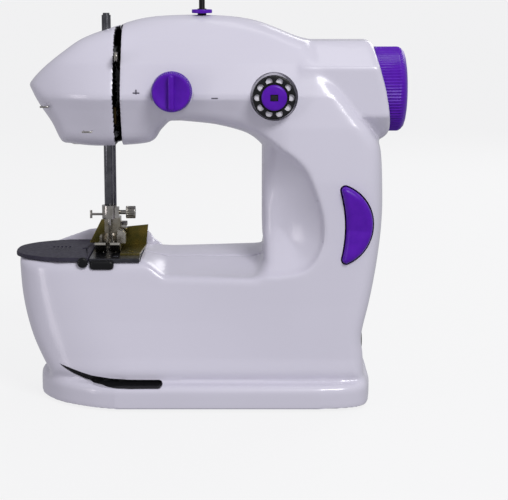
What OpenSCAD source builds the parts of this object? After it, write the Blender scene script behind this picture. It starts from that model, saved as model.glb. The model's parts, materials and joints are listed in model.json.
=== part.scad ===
// Portable mini sewing machine: C-shaped moulded body, needle head, free arm and drive train.
// Frame: +X to the hand wheel, -Y to the operator, +Z up, origin under the middle of the body.

/* [Body] */
// Half depth of the skirt round the base
skirt_y = 47.5; // [46:0.5:50]
// Height of the skirt round the base
skirt_h = 12.5; // [11:0.5:14]
// Height of the top of the free arm
bed_z = 71.6; // [71:0.2:72]
// Half depth of the top of the free arm
bed_y = 27; // [26.5:0.5:28]
// Wall of the moulded casings
wall = 2.2; // [1.8:0.1:2.4]

/* [Drive] */
// Height of the hand wheel and main shaft axis
shaft_z = 152.7; // [152:0.1:153]
// Diameter of the main shaft
shaft_d = 6; // [5:0.5:6]
// Diameter of the hand wheel
wheel_d = 41.5; // [39:0.5:42]
// Height of the hook shaft axis
hook_z = 50; // [49:0.5:50.5]
// Distance of the crank pin from the shaft axis
crank_r = 12; // [10:0.5:12]

/* [Needle and foot] */
// Place of the needle along the arm
needle_x = -50.5; // [-51:0.1:-50.3]
// Diameter of the needle bar
needle_bar_d = 4.5; // [4:0.1:4.5]
// Diameter of the presser bar
presser_bar_d = 4; // [3.5:0.1:4]

/* [Controls] */
// Diameter of the thread tension dial
dial_d = 19.6; // [18:0.2:20]
// Flange diameter of the bobbins
bobbin_d = 20.5; // [20:0.1:20.6]
// Diameter of the spool pin
spool_pin_d = 2.9; // [2.5:0.1:3]
// Free height of the spool pin above its collar
spool_pin_h = 36; // [30:1:40]

/* [Sockets] */
// Bore of the foot pedal socket
pedal_jack_d = 3.5; // [3.5:0.1:3.6]
// Height of the two sockets on the right side
jack_z = 28; // [26:0.5:30]

/* [Hidden] */

$fn = 64;
eps = 0.01;
// Clearance of a part that turns or slides in its bearing, on the radius
fit = 0.05;
// Clearance between parts that move past each other
gap = 0.4;

// ---- plain shapes, placed by their limits ----

module box(x, y, z) translate([x[0], y[0], z[0]]) cube([x[1] - x[0], y[1] - y[0], z[1] - z[0]]);
module rod_x(x, y, z, r) translate([x[0], y, z]) rotate([0, 90, 0]) cylinder(h = x[1] - x[0], r = r);
module rod_y(y, x, z, r) translate([x, y[1], z]) rotate([90, 0, 0]) cylinder(h = y[1] - y[0], r = r);
module rod_z(z, x, y, r) translate([x, y, z[0]]) cylinder(h = z[1] - z[0], r = r);
// An outline drawn in X and Z, extruded over a range of Y
module slab_y(y, outline) translate([0, y[1], 0]) rotate([90, 0, 0])
    linear_extrude(y[1] - y[0]) polygon(outline);
// An outline drawn in Y and Z, extruded over a range of X
module slab_x(x, outline) translate([x[0], 0, 0]) rotate([90, 0, 90])
    linear_extrude(x[1] - x[0]) polygon(outline);
module slab_z(z, outline) translate([0, 0, z[0]]) linear_extrude(z[1] - z[0]) polygon(outline);

// ---- curves ----

// One point of the Catmull-Rom curve between b and c
function blend_point(a, b, c, d, t) = 0.5 * (2 * b + (c - a) * t + (2 * a - 5 * b + 4 * c - d) * t * t
    + (3 * b - 3 * c + d - a) * t * t * t);
// A smooth open curve through the points, with n steps between two of them
function curve(p, n = 3) = [
    for (i = [0 : len(p) - 2])
        for (k = [0 : n - 1])
            blend_point(p[max(i - 1, 0)], p[i], p[i + 1], p[min(i + 2, len(p) - 1)], k / n),
    p[len(p) - 1]
];
function unit(v) = v / norm(v);
function left_of(v) = [-v[1], v[0]];
// A closed outline, listed anticlockwise, moved inwards by d
function inset(p, d) = [
    for (i = [0 : len(p) - 1])
        let (
            before = left_of(unit(p[i] - p[(i + len(p) - 1) % len(p)])),
            after = left_of(unit(p[(i + 1) % len(p)] - p[i])),
            sum = before + after
        )
        p[i] + sum * 2 * d / max(sum * sum, 0.8)
];
// The same outline on both sides of Y = 0: the half has Y negative and runs downwards
function both_sides(half) = concat(half, [for (i = [len(half) - 1 : -1 : 0]) [-half[i][0], half[i][1]]]);
function both_sides_plan(half) = concat(half, [for (i = [len(half) - 1 : -1 : 0]) [half[i][0], -half[i][1]]]);

// ---- body outlines ----

shaft_y = -3;
needle_y = -3;
presser_x = -49.5;
presser_y = 6;
slot_x = [-45.4, -42.3];
slot_back_y = 2;
split_x = -44;
column_x = 26;

// Arm, column and back of the body, seen from the front, anticlockwise
arm_top = curve([[48, 176.5], [34, 181.5], [11, 188.8], [-3, 190], [-17, 189.8], [-30, 188.2], [-46, 183.3],
    [-61, 178], [-81, 163.7], [-90.5, 154.9]], 2);
arm_under = curve([[-89, 152.8], [-83, 144.2], [-77.5, 136.5], [-73, 127.6], [-68, 126.4], [-54, 125.5],
    [-34, 126.6], [-27, 128.2], [-20.5, 138.2]], 2);
arm_inner = curve([[-13.4, 138.4], [3, 136.6], [15, 133.4], [column_x, 128.5]], 2);
column_out = curve([[76, skirt_h], [74.7, 37.6], [78.8, 51.6], [83.4, 72.2], [86.5, 98.5], [84.6, 124],
    [71.5, 142], [59, 160], [48, 176.5]], 3);
arm_outline = concat(arm_top, arm_under, arm_inner, [[column_x, skirt_h]],
    [for (i = [0 : len(column_out) - 2]) column_out[i]]);
// Cross section of the arm and column, from the ridge down the front
arm_section = both_sides([[-3, 190.4], [-9, 187.4], [-16, 180], [-24, 166], [-30.5, 151], [-33, 136],
    [-35.5, 110], [-36, 80], [-37.5, 50], [-42, skirt_h]]);
// Plan of the arm with its pointed nose, from the nose along the front
arm_plan = both_sides_plan(concat(curve([[-90.6, -1.5], [-84, -13], [-72, -22.5], [-56, -29], [-40, -33]], 2),
    [[-20, -43]], curve([[64, -42.5], [75, -38.5], [82, -31.5], [86.5, -20], [88.5, -5]], 2)));

// Free arm seen from the front
hull_outline = concat(
    curve([[-97.2, 67], [-95.4, 53.3], [-91.9, 40.4], [-87.1, 28.2], [-78.7, skirt_h]], 2),
    [[70, skirt_h], [70, 69], [-27, 69], [-33, bed_z], [-96.6, bed_z]]);
hull_section = both_sides([[-bed_y, bed_z], [-29.5, 58], [-33, 42], [-38, 24], [-43, skirt_h]]);
hull_plan = both_sides_plan(concat(
    curve([[-97.3, -1.5], [-94.5, -14], [-86, -24], [-72, -33], [-55, -41]], 2),
    [[-40, -44], [70, -44]]));
// Skirt round the foot of the body
skirt_plan = both_sides_plan(concat(
    curve([[-86, -1.5], [-83, -18], [-73, -33], [-58, -43], [-45, -skirt_y]], 2),
    curve([[54, -skirt_y], [68, -45], [76.5, -38], [79.4, -18]], 2)));
skirt_z0 = 1.2;

// Housing of the hand wheel, behind the curved band of the column
housing_x = [44, 88];
housing_outline = concat(
    curve([[83, 128], [87.9, 134], [86.3, 150.5], [83.2, 162.6], [80, 174], [77.5, 177.2]], 2),
    [[44, 177.2], [44, 128]]);
housing_section = [[-10, 177.2], [-15.5, 173.3], [-26.2, 164.5], [-26.2, 141], [-15, 128], [18, 128],
    [27, 141], [27, 164.5], [15.5, 173.3], [10, 177.2]];
// Round dish in the end of the housing that the hand wheel turns in
dish_x = [77.2, 79.4];
dish_r = wheel_d / 2 + 0.6;

module upper_solid(d) intersection() {
    slab_y([-43 + d, 43 - d], inset(arm_outline, d));
    slab_x([-95, 95], inset(arm_section, d));
    slab_z([0, 200], inset(arm_plan, d));
}
module hull_solid(d) intersection() {
    slab_y([-44, 44], inset(hull_outline, d));
    slab_x([-99, 99], inset(hull_section, d));
    slab_z([0, 100], inset(hull_plan, d));
}
// Low fence behind the needle that keeps the cloth off the rear edge
fence_y = [27.5, 31];
module fence_solid() slab_y(fence_y, [[-81, 60], [-26, 60], [-26, 69.5], [-30, 72.5], [-34, 78], [-48.5, 79],
    [-63.5, 77.4], [-81, 71.5]]);
// The front face widens from the free arm to the column
flank_plan = both_sides_plan([[-30, -28.4], [-14, -29.6], [0, -31.5], [14, -34.4], [27, -37.6]]);
module flank_solid(d) intersection() {
    slab_z([skirt_h, band_foot_z - 0.2 - d], inset(flank_plan, d));
    slab_x([-30, 27], inset(arm_section, d));
}
// Hollow inside the raised band, where the column meets the free arm; d moves its walls outwards
band_foot_z = 64.6;
band_edge = concat([[20, band_foot_z]], curve([[37, band_foot_z], [45.5, 66.4], [51, 70.5], [54.8, 77.5], [56.2, 85],
    [55.4, 94], [52.6, 103.5], [48.3, 114], [42.8, 120.8], [35.5, 126]], 2), [[26, 127.6], [20, 127.6]]);
hollow_y = -28;
module band_hollow(d) slab_y([-60, hollow_y + d], inset(band_edge, -d));
// The top of the free arm falls towards the operator, right of the needle plate
module bed_scoop(d) translate([0, 0, -d]) slab_x([-28 - d, column_x + d],
    [[-60, 58], [-30, 63.6], [-14, 66], [2, 69], [16, bed_z + eps], [16, 85], [-60, 85]]);
module skirt_solid(d) slab_z([skirt_z0 - d, skirt_h + eps - d], inset(skirt_plan, d));
module housing_solid(d) intersection() {
    slab_y([-30, 30], inset(housing_outline, d));
    slab_x([housing_x[0] - 5, housing_x[1] + 5], inset(housing_section, d));
}
// Well that joins the cavities of the skirt, the free arm and the column
module foot_well() slab_z([skirt_h - wall - 1, skirt_h + wall + 1], inset(skirt_plan, 9));

module body_solid() {
    difference() {
        union() {
            upper_solid(0);
            hull_solid(0);
            flank_solid(0);
        }
        band_hollow(0);
        bed_scoop(0);
    }
    skirt_solid(0);
    housing_solid(0);
    intersection() {
        fence_solid();
        slab_z([50, 90], hull_plan);
    }
}
module body_cavity() {
    difference() {
        union() {
            upper_solid(wall);
            hull_solid(wall);
            flank_solid(wall);
        }
        band_hollow(wall);
        bed_scoop(wall);
    }
    skirt_solid(wall);
    housing_solid(wall);
    foot_well();
}
module shell() difference() {
    body_solid();
    body_cavity();
}
module thread_slot() box(slot_x, [-45, slot_back_y], [120, 195]);
module front_half() box([-100, 100], [-60, 0], [-1, 200]);
module rear_half() box([-100, 100], [0, 60], [-1, 200]);
module head_zone() box([-95, split_x], [-60, 60], [120, 200]);

// ---- places of the controls ----

plate_x = [-58.6, -34];
bed_seat_z = bed_z - 1.9;
dial_x = -17.2;
dial_z = 153.3;
spindle_x = 31.6;
spindle_z = 150.9;
bobbin_seat_y = -27;
rocker_pivot = [69.5, -33, 88.5];
spool_x = -3.6;
collar_z = 189.6;
collar_r = 5;
dial_y = [-38, -31];
lifter_x = -53;
lifter_z = 140;
lamp_xy = [-65, 2];
jack_y = [-13, 3];
jack_face_x = 75.8;
screw_xz = [[-20, 174], [52, 171], [79, 92], [62, 42], [-28, 36], [-80, 36]];
boss_r = 4.2;
screw_r = 1.3;
screw_head_y = 17;

// Crescent outline of the rocker, seen from the front: hollow on the left, bowed on the right
rocker_r = 20;
rocker_hollow_r = 65;
rocker_mid = [59.3, 89.5];
module rocker_outline(grow) difference() {
    translate(rocker_mid) circle(r = rocker_r + grow);
    translate([66.4 - rocker_hollow_r, 88.5]) circle(r = rocker_hollow_r - grow, $fn = 128);
}

// ---- casings ----

// Openings that pass through the casing halves
module casing_openings() {
    thread_slot();
    // Dial seat and stud, spindle pocket and rocker
    rod_y([-45, dial_y[1] + gap], dial_x, dial_z, dial_d / 2 + 0.7);
    rod_y([-40, -20], dial_x, dial_z, 2.3);
    rod_y([-45, bobbin_seat_y + 1.4], spindle_x, spindle_z, bobbin_d / 2 + 1.2);
    rod_y([-45, -20], spindle_x, spindle_z, 2.6);
    translate([0, -28, 0]) rotate([90, 0, 0]) linear_extrude(20) rocker_outline(0.8);
    // Spool pin and the hand wheel end of the shaft
    rod_z([180, 195], spool_x, 0, spool_shank_r + 0.4);
    rod_z([collar_z, 195], spool_x, 0, collar_r);
    rod_x([70, 100], shaft_y, shaft_z, 6);
    rod_x([dish_x[1], 100], shaft_y, shaft_z, dish_r);
    // Hook space under the slide cover and the needle plate
    box([-88, -32], [-17, 17], [60, bed_z + 1]);
    box([-99, plate_x[1] + gap], [-28, bed_y + gap], [bed_seat_z, bed_z + 5]);
    // Sockets and base plate
    box([70, 90], [jack_y[0] - 6.2, jack_y[1] + 6.2], [jack_z - 6.2, jack_z + 6.2]);
    // Long shadow slot where the free arm meets the skirt
    slab_z([skirt_h - 2.4, skirt_h + 1.2],
        [[-75, -60], [-25, -60], [-25, -39.5], [-48, -39.5], [-62, -31], [-75, -22]]);
}
module screw_bosses(y) for (p = screw_xz) rod_y(y, p[0], p[1], boss_r);
module wheel_dish() rod_x([dish_x[0], 92], shaft_y, shaft_z, dish_r + wall);
module pocket_ring() rod_y([bobbin_seat_y - 7, bobbin_seat_y + 3], spindle_x, spindle_z, bobbin_d / 2 + 2.6);
module front_casing() color("#d9d5e2") difference() {
    union() {
        difference() {
            intersection() {
                shell();
                front_half();
            }
            head_zone();
        }
        intersection() {
            body_solid();
            union() {
                screw_bosses([-40, -eps]);
                pocket_ring();
                intersection() {
                    wheel_dish();
                    front_half();
                }
            }
        }
    }
    casing_openings();
    for (p = screw_xz) rod_y([-10, 1], p[0], p[1], screw_r);
    dial_marks();
}
module rear_casing() color("#d3cfdc") difference() {
    union() {
        difference() {
            intersection() {
                shell();
                rear_half();
            }
            head_zone();
        }
        intersection() {
            body_solid();
            union() {
                screw_bosses([eps, 45]);
                intersection() {
                    wheel_dish();
                    rear_half();
                }
            }
        }
    }
    casing_openings();
    for (p = screw_xz) {
        rod_y([-1, 60], p[0], p[1], screw_r + 0.3);
        rod_y([screw_head_y, 60], p[0], p[1], 3.1);
    }
}
module face_cover() color("#dcd8e5") difference() {
    intersection() {
        difference() {
            upper_solid(0);
            upper_solid(wall);
        }
        head_zone();
    }
    thread_slot();
    rod_z([170, 195], needle_x, needle_y, needle_bar_d / 2 + gap);
    rod_z([120, 135], needle_x, needle_y, needle_bar_d / 2 + gap);
    rod_z([120, 135], presser_x, presser_y, presser_bar_d / 2 + gap);
    rod_y([0, 40], lifter_x, lifter_z, 2.9);
    rod_z([120, 135], lamp_xy[0], lamp_xy[1], 4.2);
    thread_guides();
}

// ---- base ----

door_x = [-34, 28];
door_y = 33;
door_travel = 8;
module base_plate() color("#cfcbd8") difference() {
    slab_z([skirt_z0, 3.6], inset(skirt_plan, wall + 0.1));
    box([door_x[0] - door_travel - gap, door_x[1] + gap], [-door_y - gap, door_y + gap], [0, 2.7]);
    box([door_x[0] + 4, door_x[1] - 4], [-door_y + 4, door_y - 4], [0, 5]);
}
module battery_door() color("#cbc7d4") {
    difference() {
        box(door_x, [-door_y, door_y], [skirt_z0, 2.4]);
        for (k = [-2 : 2]) box([-24 + k * 1.6, -23.2 + k * 1.6], [-9, 9], [1, 1.7]);
    }
}
foot_places = [[-70, -14], [-70, 14], [62, -32], [62, 32]];
module rubber_feet() color("#2a2a2c") for (p = foot_places) difference() {
    rod_z([0, skirt_z0], p[0], p[1], 5);
    rod_z([-1, 0.5], p[0], p[1], 1.6);
}
battery_z = 21;
cell_r = 7.25;
cell_pitch = 14.6;
module battery_box() color("#3a3a3f") difference() {
    box([door_x[0] + 2.2, door_x[1] - 2.2], [-door_y + 2.2, door_y - 2.2], [3.6, battery_z]);
    for (k = [0 : 3]) rod_x([door_x[0] + 4, door_x[1] - 4], cell_pitch * (k - 1.5), 11, cell_r);
    box([door_x[0] + 4, door_x[1] - 4], [-door_y + 4, door_y - 4], [0, 11]);
}
module battery_contacts() color("#b9b9b4") for (k = [0 : 3]) for (side = [0, 1]) {
    x_wall = side == 0 ? door_x[0] + 4 : door_x[1] - 4;
    facing = side == 0 ? 1 : -1;
    translate([x_wall, cell_pitch * (k - 1.5), 11]) rotate([0, 90 * facing, 0]) {
        cylinder(h = 0.4, r = 4.6);
        if ((k + side) % 2 == 0) for (turn = [0 : 3]) translate([0, 0, 0.4 + turn * 1.2]) difference() {
            cylinder(h = 1.2, r = 3.6 - 0.5 * turn);
            translate([0, 0, -eps]) cylinder(h = 2, r = 2.9 - 0.5 * turn);
        }
        if ((k + side) % 2 == 1) cylinder(h = 1.2, r = 2.5);
    }
}

// ---- free arm top ----

cover_x = [-97.2, -59];
module slide_cover() color("#3c3a48") difference() {
    intersection() {
        box(cover_x, [-bed_y, bed_y], [bed_z - 1.5, bed_z + 0.5]);
        slab_z([60, 80], both_sides_plan(concat(
            curve([[-97.2, -1.5], [-96, -10], [-90, -18.5], [-82, -24]], 3),
            [[-74, -bed_y], [-50, -bed_y]])));
    }
    for (k = [0 : 4]) box([-80 + 2 * k, -79 + 2 * k], [-6, 6], [bed_z + 0.1, bed_z + 1]);
    rod_z([60, 80], -63, 0, 1.6);
}
module needle_plate() color("#c3c3c6") difference() {
    union() {
        box(plate_x, [-bed_y, bed_y], [bed_seat_z, bed_z]);
        box([plate_x[0] + 6, plate_x[1] - 3], [-16, 16], [bed_seat_z - 1.1, bed_seat_z]);
    }
    rod_z([60, 80], needle_x, needle_y, 1.3);
    for (x = [-54.2, -46.8]) box([x - 1.3, x + 1.3], [-10, 9], [60, 80]);
    for (y = [-20, 20]) rod_z([60, 80], -46, y, 1.4);
}
// Yellow zinc guard behind the foot, with its upright rear edge
guard_y = [10.5, 11.4];
module guard_plate() color("#8c7a22") difference() {
    union() {
        box([-58, -33], [guard_y[0], guard_y[1]], [bed_z, bed_z + 3]);
        box([-58, -33], [guard_y[0] - 1.6, guard_y[1]], [bed_z, bed_z + 0.9]);
        slab_y(guard_y, [[-62, bed_z + 1.6], [-33, bed_z + 0.6], [-32, 82.6], [-46, 81.2], [-46.8, 85.3],
            [-55.8, 85.3]]);
        slab_z([bed_z, bed_z + 0.9], [[-44.2, -17], [-34.6, -17], [-33, 9], [-44.2, 9]]);
    }
    rod_z([60, 80], -39, -12, 1.5);
}

// ---- frame and drive ----

frame_y = [15, 17.5];
leg_y = [22, 24.5];
bearing_x = [[-32, -25], [56, 63]];
bush_r = 5;
module arm_frame() color("#8f9298") {
    difference() {
        union() {
            box([-34, 64], frame_y, [143, 164]);
            for (b = bearing_x) hull() {
                rod_x(b, shaft_y, shaft_z, 8.4);
                box(b, [12, frame_y[1]], [145, 160]);
            }
            // Leg behind the motor
            box([42, 64], [leg_y[0], leg_y[1]], [96, 150]);
            box([42, 64], [frame_y[0], leg_y[1]], [143, 150]);
        }
        for (b = bearing_x) rod_x([b[0] - 1, b[1] + 1], shaft_y, shaft_z, bush_r);
        for (x = [-10, 12, 34]) rod_y([10, 20], x, 153.5, 6.5);
    }
}
module bush(x, y, z, r) difference() {
    rod_x(x, y, z, bush_r);
    rod_x([x[0] - 1, x[1] + 1], y, z, r + fit);
}
hook_bearing_x = [[-42, -36], [44, 50]];
module shaft_bushings() color("#b08d3c") {
    for (b = bearing_x) bush(b, shaft_y, shaft_z, shaft_d / 2);
    for (b = hook_bearing_x) bush(b, shaft_y, hook_z, 2.5);
}
disc_x = [-40, -36];
module main_shaft() color("#a9abb0") {
    rod_x([disc_x[1], 92], shaft_y, shaft_z, shaft_d / 2);
    // Retaining collar beside the front bearing
    difference() {
        rod_x([-24.5, -19.5], shaft_y, shaft_z, 5.2);
        rod_x([-25, -19], shaft_y, shaft_z, shaft_d / 2);
    }
}
module crank_disc() color("#9a9ca2") {
    difference() {
        rod_x(disc_x, shaft_y, shaft_z, crank_r + 3);
        for (a = [-35, 0, 35]) rotate_about_shaft(a) rod_x([-41, -35], shaft_y, shaft_z + 9.5, 2.2);
    }
    rod_x([disc_x[0] - 2, disc_x[0]], shaft_y, shaft_z - crank_r, 1.5);
}
module rotate_about_shaft(a) translate([0, shaft_y, shaft_z]) rotate([a, 0, 0])
    translate([0, -shaft_y, -shaft_z]) children();
wheel_x = [80.2, 97.2];
module hand_wheel() color("#5a22b8") {
    r = wheel_d / 2;
    difference() {
        translate([0, shaft_y, shaft_z]) rotate([0, 90, 0]) rotate_extrude($fn = 96) polygon([
            [shaft_d / 2, wheel_x[0]], [r - 1, wheel_x[0]], [r, wheel_x[0] + 1], [r, 92.4], [r - 1.4, 94.6],
            [r - 5, 96.2], [r - 11, wheel_x[1]], [0, wheel_x[1]], [0, 92], [shaft_d / 2, 92]
        ]);
        for (k = [0 : 47]) rotate_about_shaft(7.5 * k)
            rod_x([wheel_x[0] + 1.6, 93.4], shaft_y, shaft_z + r + 0.3, 0.75);
    }
}
module pulley(x, y, z, r, bore, teeth) difference() {
    union() {
        rod_x([x[0] + 1, x[1] - 1], y, z, r);
        rod_x([x[0], x[0] + 1], y, z, r + 1.2);
        rod_x([x[1] - 1, x[1]], y, z, r + 1.2);
    }
    rod_x([x[0] - 1, x[1] + 1], y, z, bore);
    if (teeth > 0) for (k = [0 : teeth - 1]) translate([0, y, z]) rotate([360 / teeth * k, 0, 0])
        box([x[0] + 1, x[1] - 1], [-0.5, 0.5], [r - 0.8, r + 1]);
}
drive_x = [68, 74];
timing_x = [31, 37];
motor_y = 8;
motor_z = 112;
drive_r = 15;
motor_pulley_r = 5;
timing_r = 12;
hook_pulley_r = 6;
module main_pulley() color("#2e2e33") difference() {
    pulley(drive_x, shaft_y, shaft_z, drive_r, shaft_d / 2, 0);
    for (k = [0 : 4]) rotate_about_shaft(72 * k) rod_x([60, 80], shaft_y, shaft_z + 9, 2.6);
}
module timing_pulley() color("#dedbd2") pulley(timing_x, shaft_y, shaft_z, timing_r, shaft_d / 2, 24);
module hook_pulley() color("#dedbd2") pulley(timing_x, shaft_y, hook_z, hook_pulley_r, 2.5, 12);
// A belt round two pulleys: the outside loop less the inside one
module belt(x, a, ra, b, rb, thick) difference() {
    hull() {
        rod_x(x, a[0], a[1], ra + thick);
        rod_x(x, b[0], b[1], rb + thick);
    }
    hull() {
        rod_x([x[0] - 1, x[1] + 1], a[0], a[1], ra);
        rod_x([x[0] - 1, x[1] + 1], b[0], b[1], rb);
    }
}
module timing_belt() color("#232326")
    belt([timing_x[0] + 1.3, timing_x[1] - 1.3], [shaft_y, shaft_z], timing_r + 0.3,
        [shaft_y, hook_z], hook_pulley_r + 0.3, 1.2);
module drive_belt() color("#202022")
    belt([drive_x[0] + 1.3, drive_x[1] - 1.3], [shaft_y, shaft_z], drive_r + 0.3,
        [motor_y, motor_z], motor_pulley_r + 0.3, 1.4);
module hook_shaft() color("#a9abb0") rod_x([-53, 52], shaft_y, hook_z, 2.5);
rail_y = [8, 10.5];
module hook_frame() color("#8f9298") difference() {
    union() {
        box([-44, 52], rail_y, [43, 57]);
        for (b = hook_bearing_x) hull() {
            rod_x(b, shaft_y, hook_z, 7.2);
            box(b, [2, rail_y[1]], [43, 57]);
        }
        // Rear rail that carries the stop of the bobbin case
        box([-75, -42], [14.6, 17], [44, 56]);
        box([-44, -42], [rail_y[0], 17], [44, 56]);
        box([-75, -72.6], [shaft_y - 4, 17], [46, 54]);
        box([-73, -70], [shaft_y - 3, shaft_y + 3], [47, 53]);
    }
    for (b = hook_bearing_x) rod_x([b[0] - 1, b[1] + 1], shaft_y, hook_z, bush_r);
}
module cup(x, wall_x, r_out, r_in) difference() {
    rod_x(x, shaft_y, hook_z, r_out);
    rod_x([x[0] - 1, wall_x], shaft_y, hook_z, r_in);
}
module rotary_hook() color("#c9cace") difference() {
    union() {
        cup([-66, -53], -54.6, 13.4, 11.9);
        rod_x([-54.6, -52.4], shaft_y, hook_z, 5.2);
    }
    rod_x([-53, -50], shaft_y, hook_z, 2.5);
    // Gap that leaves the hook's point
    translate([0, shaft_y, hook_z]) rotate([38, 0, 0]) box([-70, -58], [-2.5, 4.5], [8, 16]);
}
module bobbin_case() color("#b4b5ba") difference() {
    union() {
        cup([-68, -55.2], -56.6, 11.6, 10.7);
        box([-70, -68], [shaft_y - 11.3, shaft_y - 9.6], [47, 53]);
        box([-70, -69.2], [shaft_y - 11.3, shaft_y + 11.3], [47, 53]);
        box([-70, -68], [shaft_y + 9.6, shaft_y + 11.3], [47, 53]);
        // Post that the bobbin turns on
        rod_x([-65, -56.6], shaft_y, hook_z, 3 - fit);
    }
    rod_x([-70, -50], shaft_y, hook_z, 1.2);
}
module bobbin(r, half_w, bore) {
    difference() {
        union() {
            for (s = [-1, 1]) translate([0, 0, s * (half_w - 0.5) - 0.5]) cylinder(h = 1, r = r);
            translate([0, 0, -half_w + 0.5]) cylinder(h = 2 * half_w - 1, r = 5);
        }
        translate([0, 0, -20]) cylinder(h = 40, r = bore);
        for (k = [0 : 9]) rotate([0, 0, 36 * k]) translate([8.3, 0, -20]) cylinder(h = 40, r = 1.7);
    }
}
module lower_bobbin() color("#c8c8cc")
    translate([-62, shaft_y, hook_z]) rotate([0, 90, 0]) bobbin(10.2, 4.8, 3);
feed_teeth = [-54.2, -46.8];
module feed_bar() color("#9a9ca2") {
    for (x = feed_teeth) {
        box([x - 0.9, x + 0.9], [-7, 5], [66.6, 70.6]);
        for (k = [0 : 7]) translate([0, 1.5 * k, 0])
            slab_x([x - 0.9, x + 0.9], [[-7, 70.5], [-5.5, 70.5], [-5.5, 71.2]]);
    }
    box([-55.1, -45.9], [3, 7], [65, 68.2]);
    box([-48, -45.9], [3, 7], [60, 66]);
    box([-48, -28], [3, 7], [58.5, 61.5]);
}
module motor() color("#b2b4b8") {
    difference() {
        rod_x([40, 66.4], motor_y, motor_z, 12);
        for (side = [10, -16])
            box([39, 70], [motor_y - 15, motor_y + 15], [motor_z + side, motor_z + side + 6]);
    }
    rod_x([38.4, 40], motor_y, motor_z, 4);
    rod_x([66.4, 67.6], motor_y, motor_z, 3);
}
module motor_pulley() color("#3a3a3e") union() {
    rod_x([67.8, 76.5], motor_y, motor_z, 1);
    pulley(drive_x, motor_y, motor_z, motor_pulley_r, 1, 0);
}
module motor_bracket() color("#7d8086") difference() {
    union() {
        box([42, 51.6], [motor_y - 2, leg_y[0]], [motor_z - 15.5, motor_z - 13]);
        rod_x([42, 51.6], motor_y, motor_z, 13.6);
        box([42, 51.6], [20.5, leg_y[0]], [motor_z - 15.5, motor_z + 8]);
    }
    rod_x([41, 53], motor_y, motor_z, 12);
    box([41, 53], [-20, motor_y - 8], [90, 140]);
    for (s = [-1, 1]) rod_y([15, 30], 47, motor_z + s * 5, 1.5);
}

// ---- needle head ----

lug_z = [[129, 132], [170, 173]];
module head_frame() color("#8f9298") difference() {
    union() {
        box([-59, -46.4], [14, 16.5], [lug_z[0][0], lug_z[1][1]]);
        for (z = lug_z) box([-56, -45.6], [needle_y - 4.2, 14.5], z);
        // Lug of the take-up lever's pin
        box([-49.5, -45.6], [14, 22.4], [153.6, 162.4]);
    }
    for (z = lug_z) {
        rod_z([z[0] - 1, z[1] + 1], needle_x, needle_y, needle_bar_d / 2 + fit);
        rod_z([z[0] - 1, z[1] + 1], presser_x, presser_y, presser_bar_d / 2 + fit);
    }
    rod_x([-60, -45], lever_pivot[0], lever_pivot[1], 1.5);
    rod_y([10, 20], lifter_x, lifter_z, 2.55);
}
bar_foot_z = 89;
bar_top_z = 189.8;
module needle_bar() color("#77787d") {
    rod_z([bar_foot_z, bar_top_z - 1], needle_x, needle_y, needle_bar_d / 2);
    rod_z([bar_top_z - 1, bar_top_z], needle_x, needle_y, needle_bar_d / 2 - 0.6);
}
yoke_z = [shaft_z - crank_r - 4, shaft_z - crank_r + 4];
module needle_bar_yoke() color("#c2a24a") difference() {
    union() {
        box([-54.2, -47.2], [needle_y - 4, needle_y + 4.2], [yoke_z[0] + 1, yoke_z[1] - 1]);
        box([-46.3, -45], [shaft_y - 15.6, shaft_y + 15.6], yoke_z);
        box([-48, -46.2], [needle_y - 4, needle_y + 2], [yoke_z[0] + 1, yoke_z[1] - 1]);
    }
    rod_z([120, 160], needle_x, needle_y, needle_bar_d / 2);
    box([-46.4, -40], [shaft_y - 13.8, shaft_y + 13.8], [shaft_z - crank_r - 1.8, shaft_z - crank_r + 1.8]);
}
needle_tip_z = 61;
module needle() color("#d5d6da") {
    rod_z([84.5, bar_foot_z], needle_x, needle_y, 0.8);
    rod_z([needle_tip_z + 4, 84.5], needle_x, needle_y, 0.45);
    translate([needle_x, needle_y, needle_tip_z]) cylinder(h = 4, r1 = 0.08, r2 = 0.45, $fn = 24);
}
clamp_z = [87.9, 94.6];
module needle_clamp() color("#c9cace") difference() {
    union() {
        rod_z(clamp_z, needle_x, needle_y, 3.6);
        box([-47.6, -45.6], [needle_y - 2.2, needle_y + 2.2], [88.4, 93.6]);
        // Wire guide on the left of the clamp
        rod_x([-59.6, -53.6], needle_y, 90, 0.6);
        rod_z([88, 92], -59.6, needle_y, 0.6);
    }
    rod_z([bar_foot_z, 96], needle_x, needle_y, needle_bar_d / 2);
    rod_z([80, bar_foot_z], needle_x, needle_y, 0.8);
    rod_x([-47, -44], needle_y, 91, 1.1);
}
module clamp_screw() color("#d8d9dd") {
    rod_x([-47, -42], needle_y, 91, 1.1);
    difference() {
        rod_x([-42, -37.4], needle_y, 91, 3.1);
        for (k = [0 : 17]) translate([0, needle_y, 91]) rotate([20 * k, 0, 0])
            rod_x([-41.6, -37.8], 0, 3.3, 0.4);
        box([-38.2, -37], [needle_y - 0.5, needle_y + 0.5], [87, 95]);
    }
}
lever_pivot = [18, 158];
eye_yz = [-28.5, 169.6];
lever_x = [-44.5, -43.3];
module take_up_lever() color("#c9cace") difference() {
    union() {
        slab_x(lever_x, [[19.5, 155], [19.5, 161.4], [-26.5, 172], [-29.6, 171.4], [-30.4, 168.8],
            [-28, 167.4]]);
        rod_x(lever_x, lever_pivot[0], lever_pivot[1], 3.6);
        rod_x(lever_x, eye_yz[0], eye_yz[1], 2.3);
    }
    rod_x([-46, -42], lever_pivot[0], lever_pivot[1], 1.5 + fit);
    rod_x([-46, -42], eye_yz[0], eye_yz[1], 1.1);
}
module take_up_pivot() color("#9a9ca2") {
    rod_x([-49.5, -43], lever_pivot[0], lever_pivot[1], 1.5);
    rod_x([-43, -42.2], lever_pivot[0], lever_pivot[1], 2.6);
}
presser_z = [80, 173.6];
collar_presser_z = [146, 150];
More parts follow.
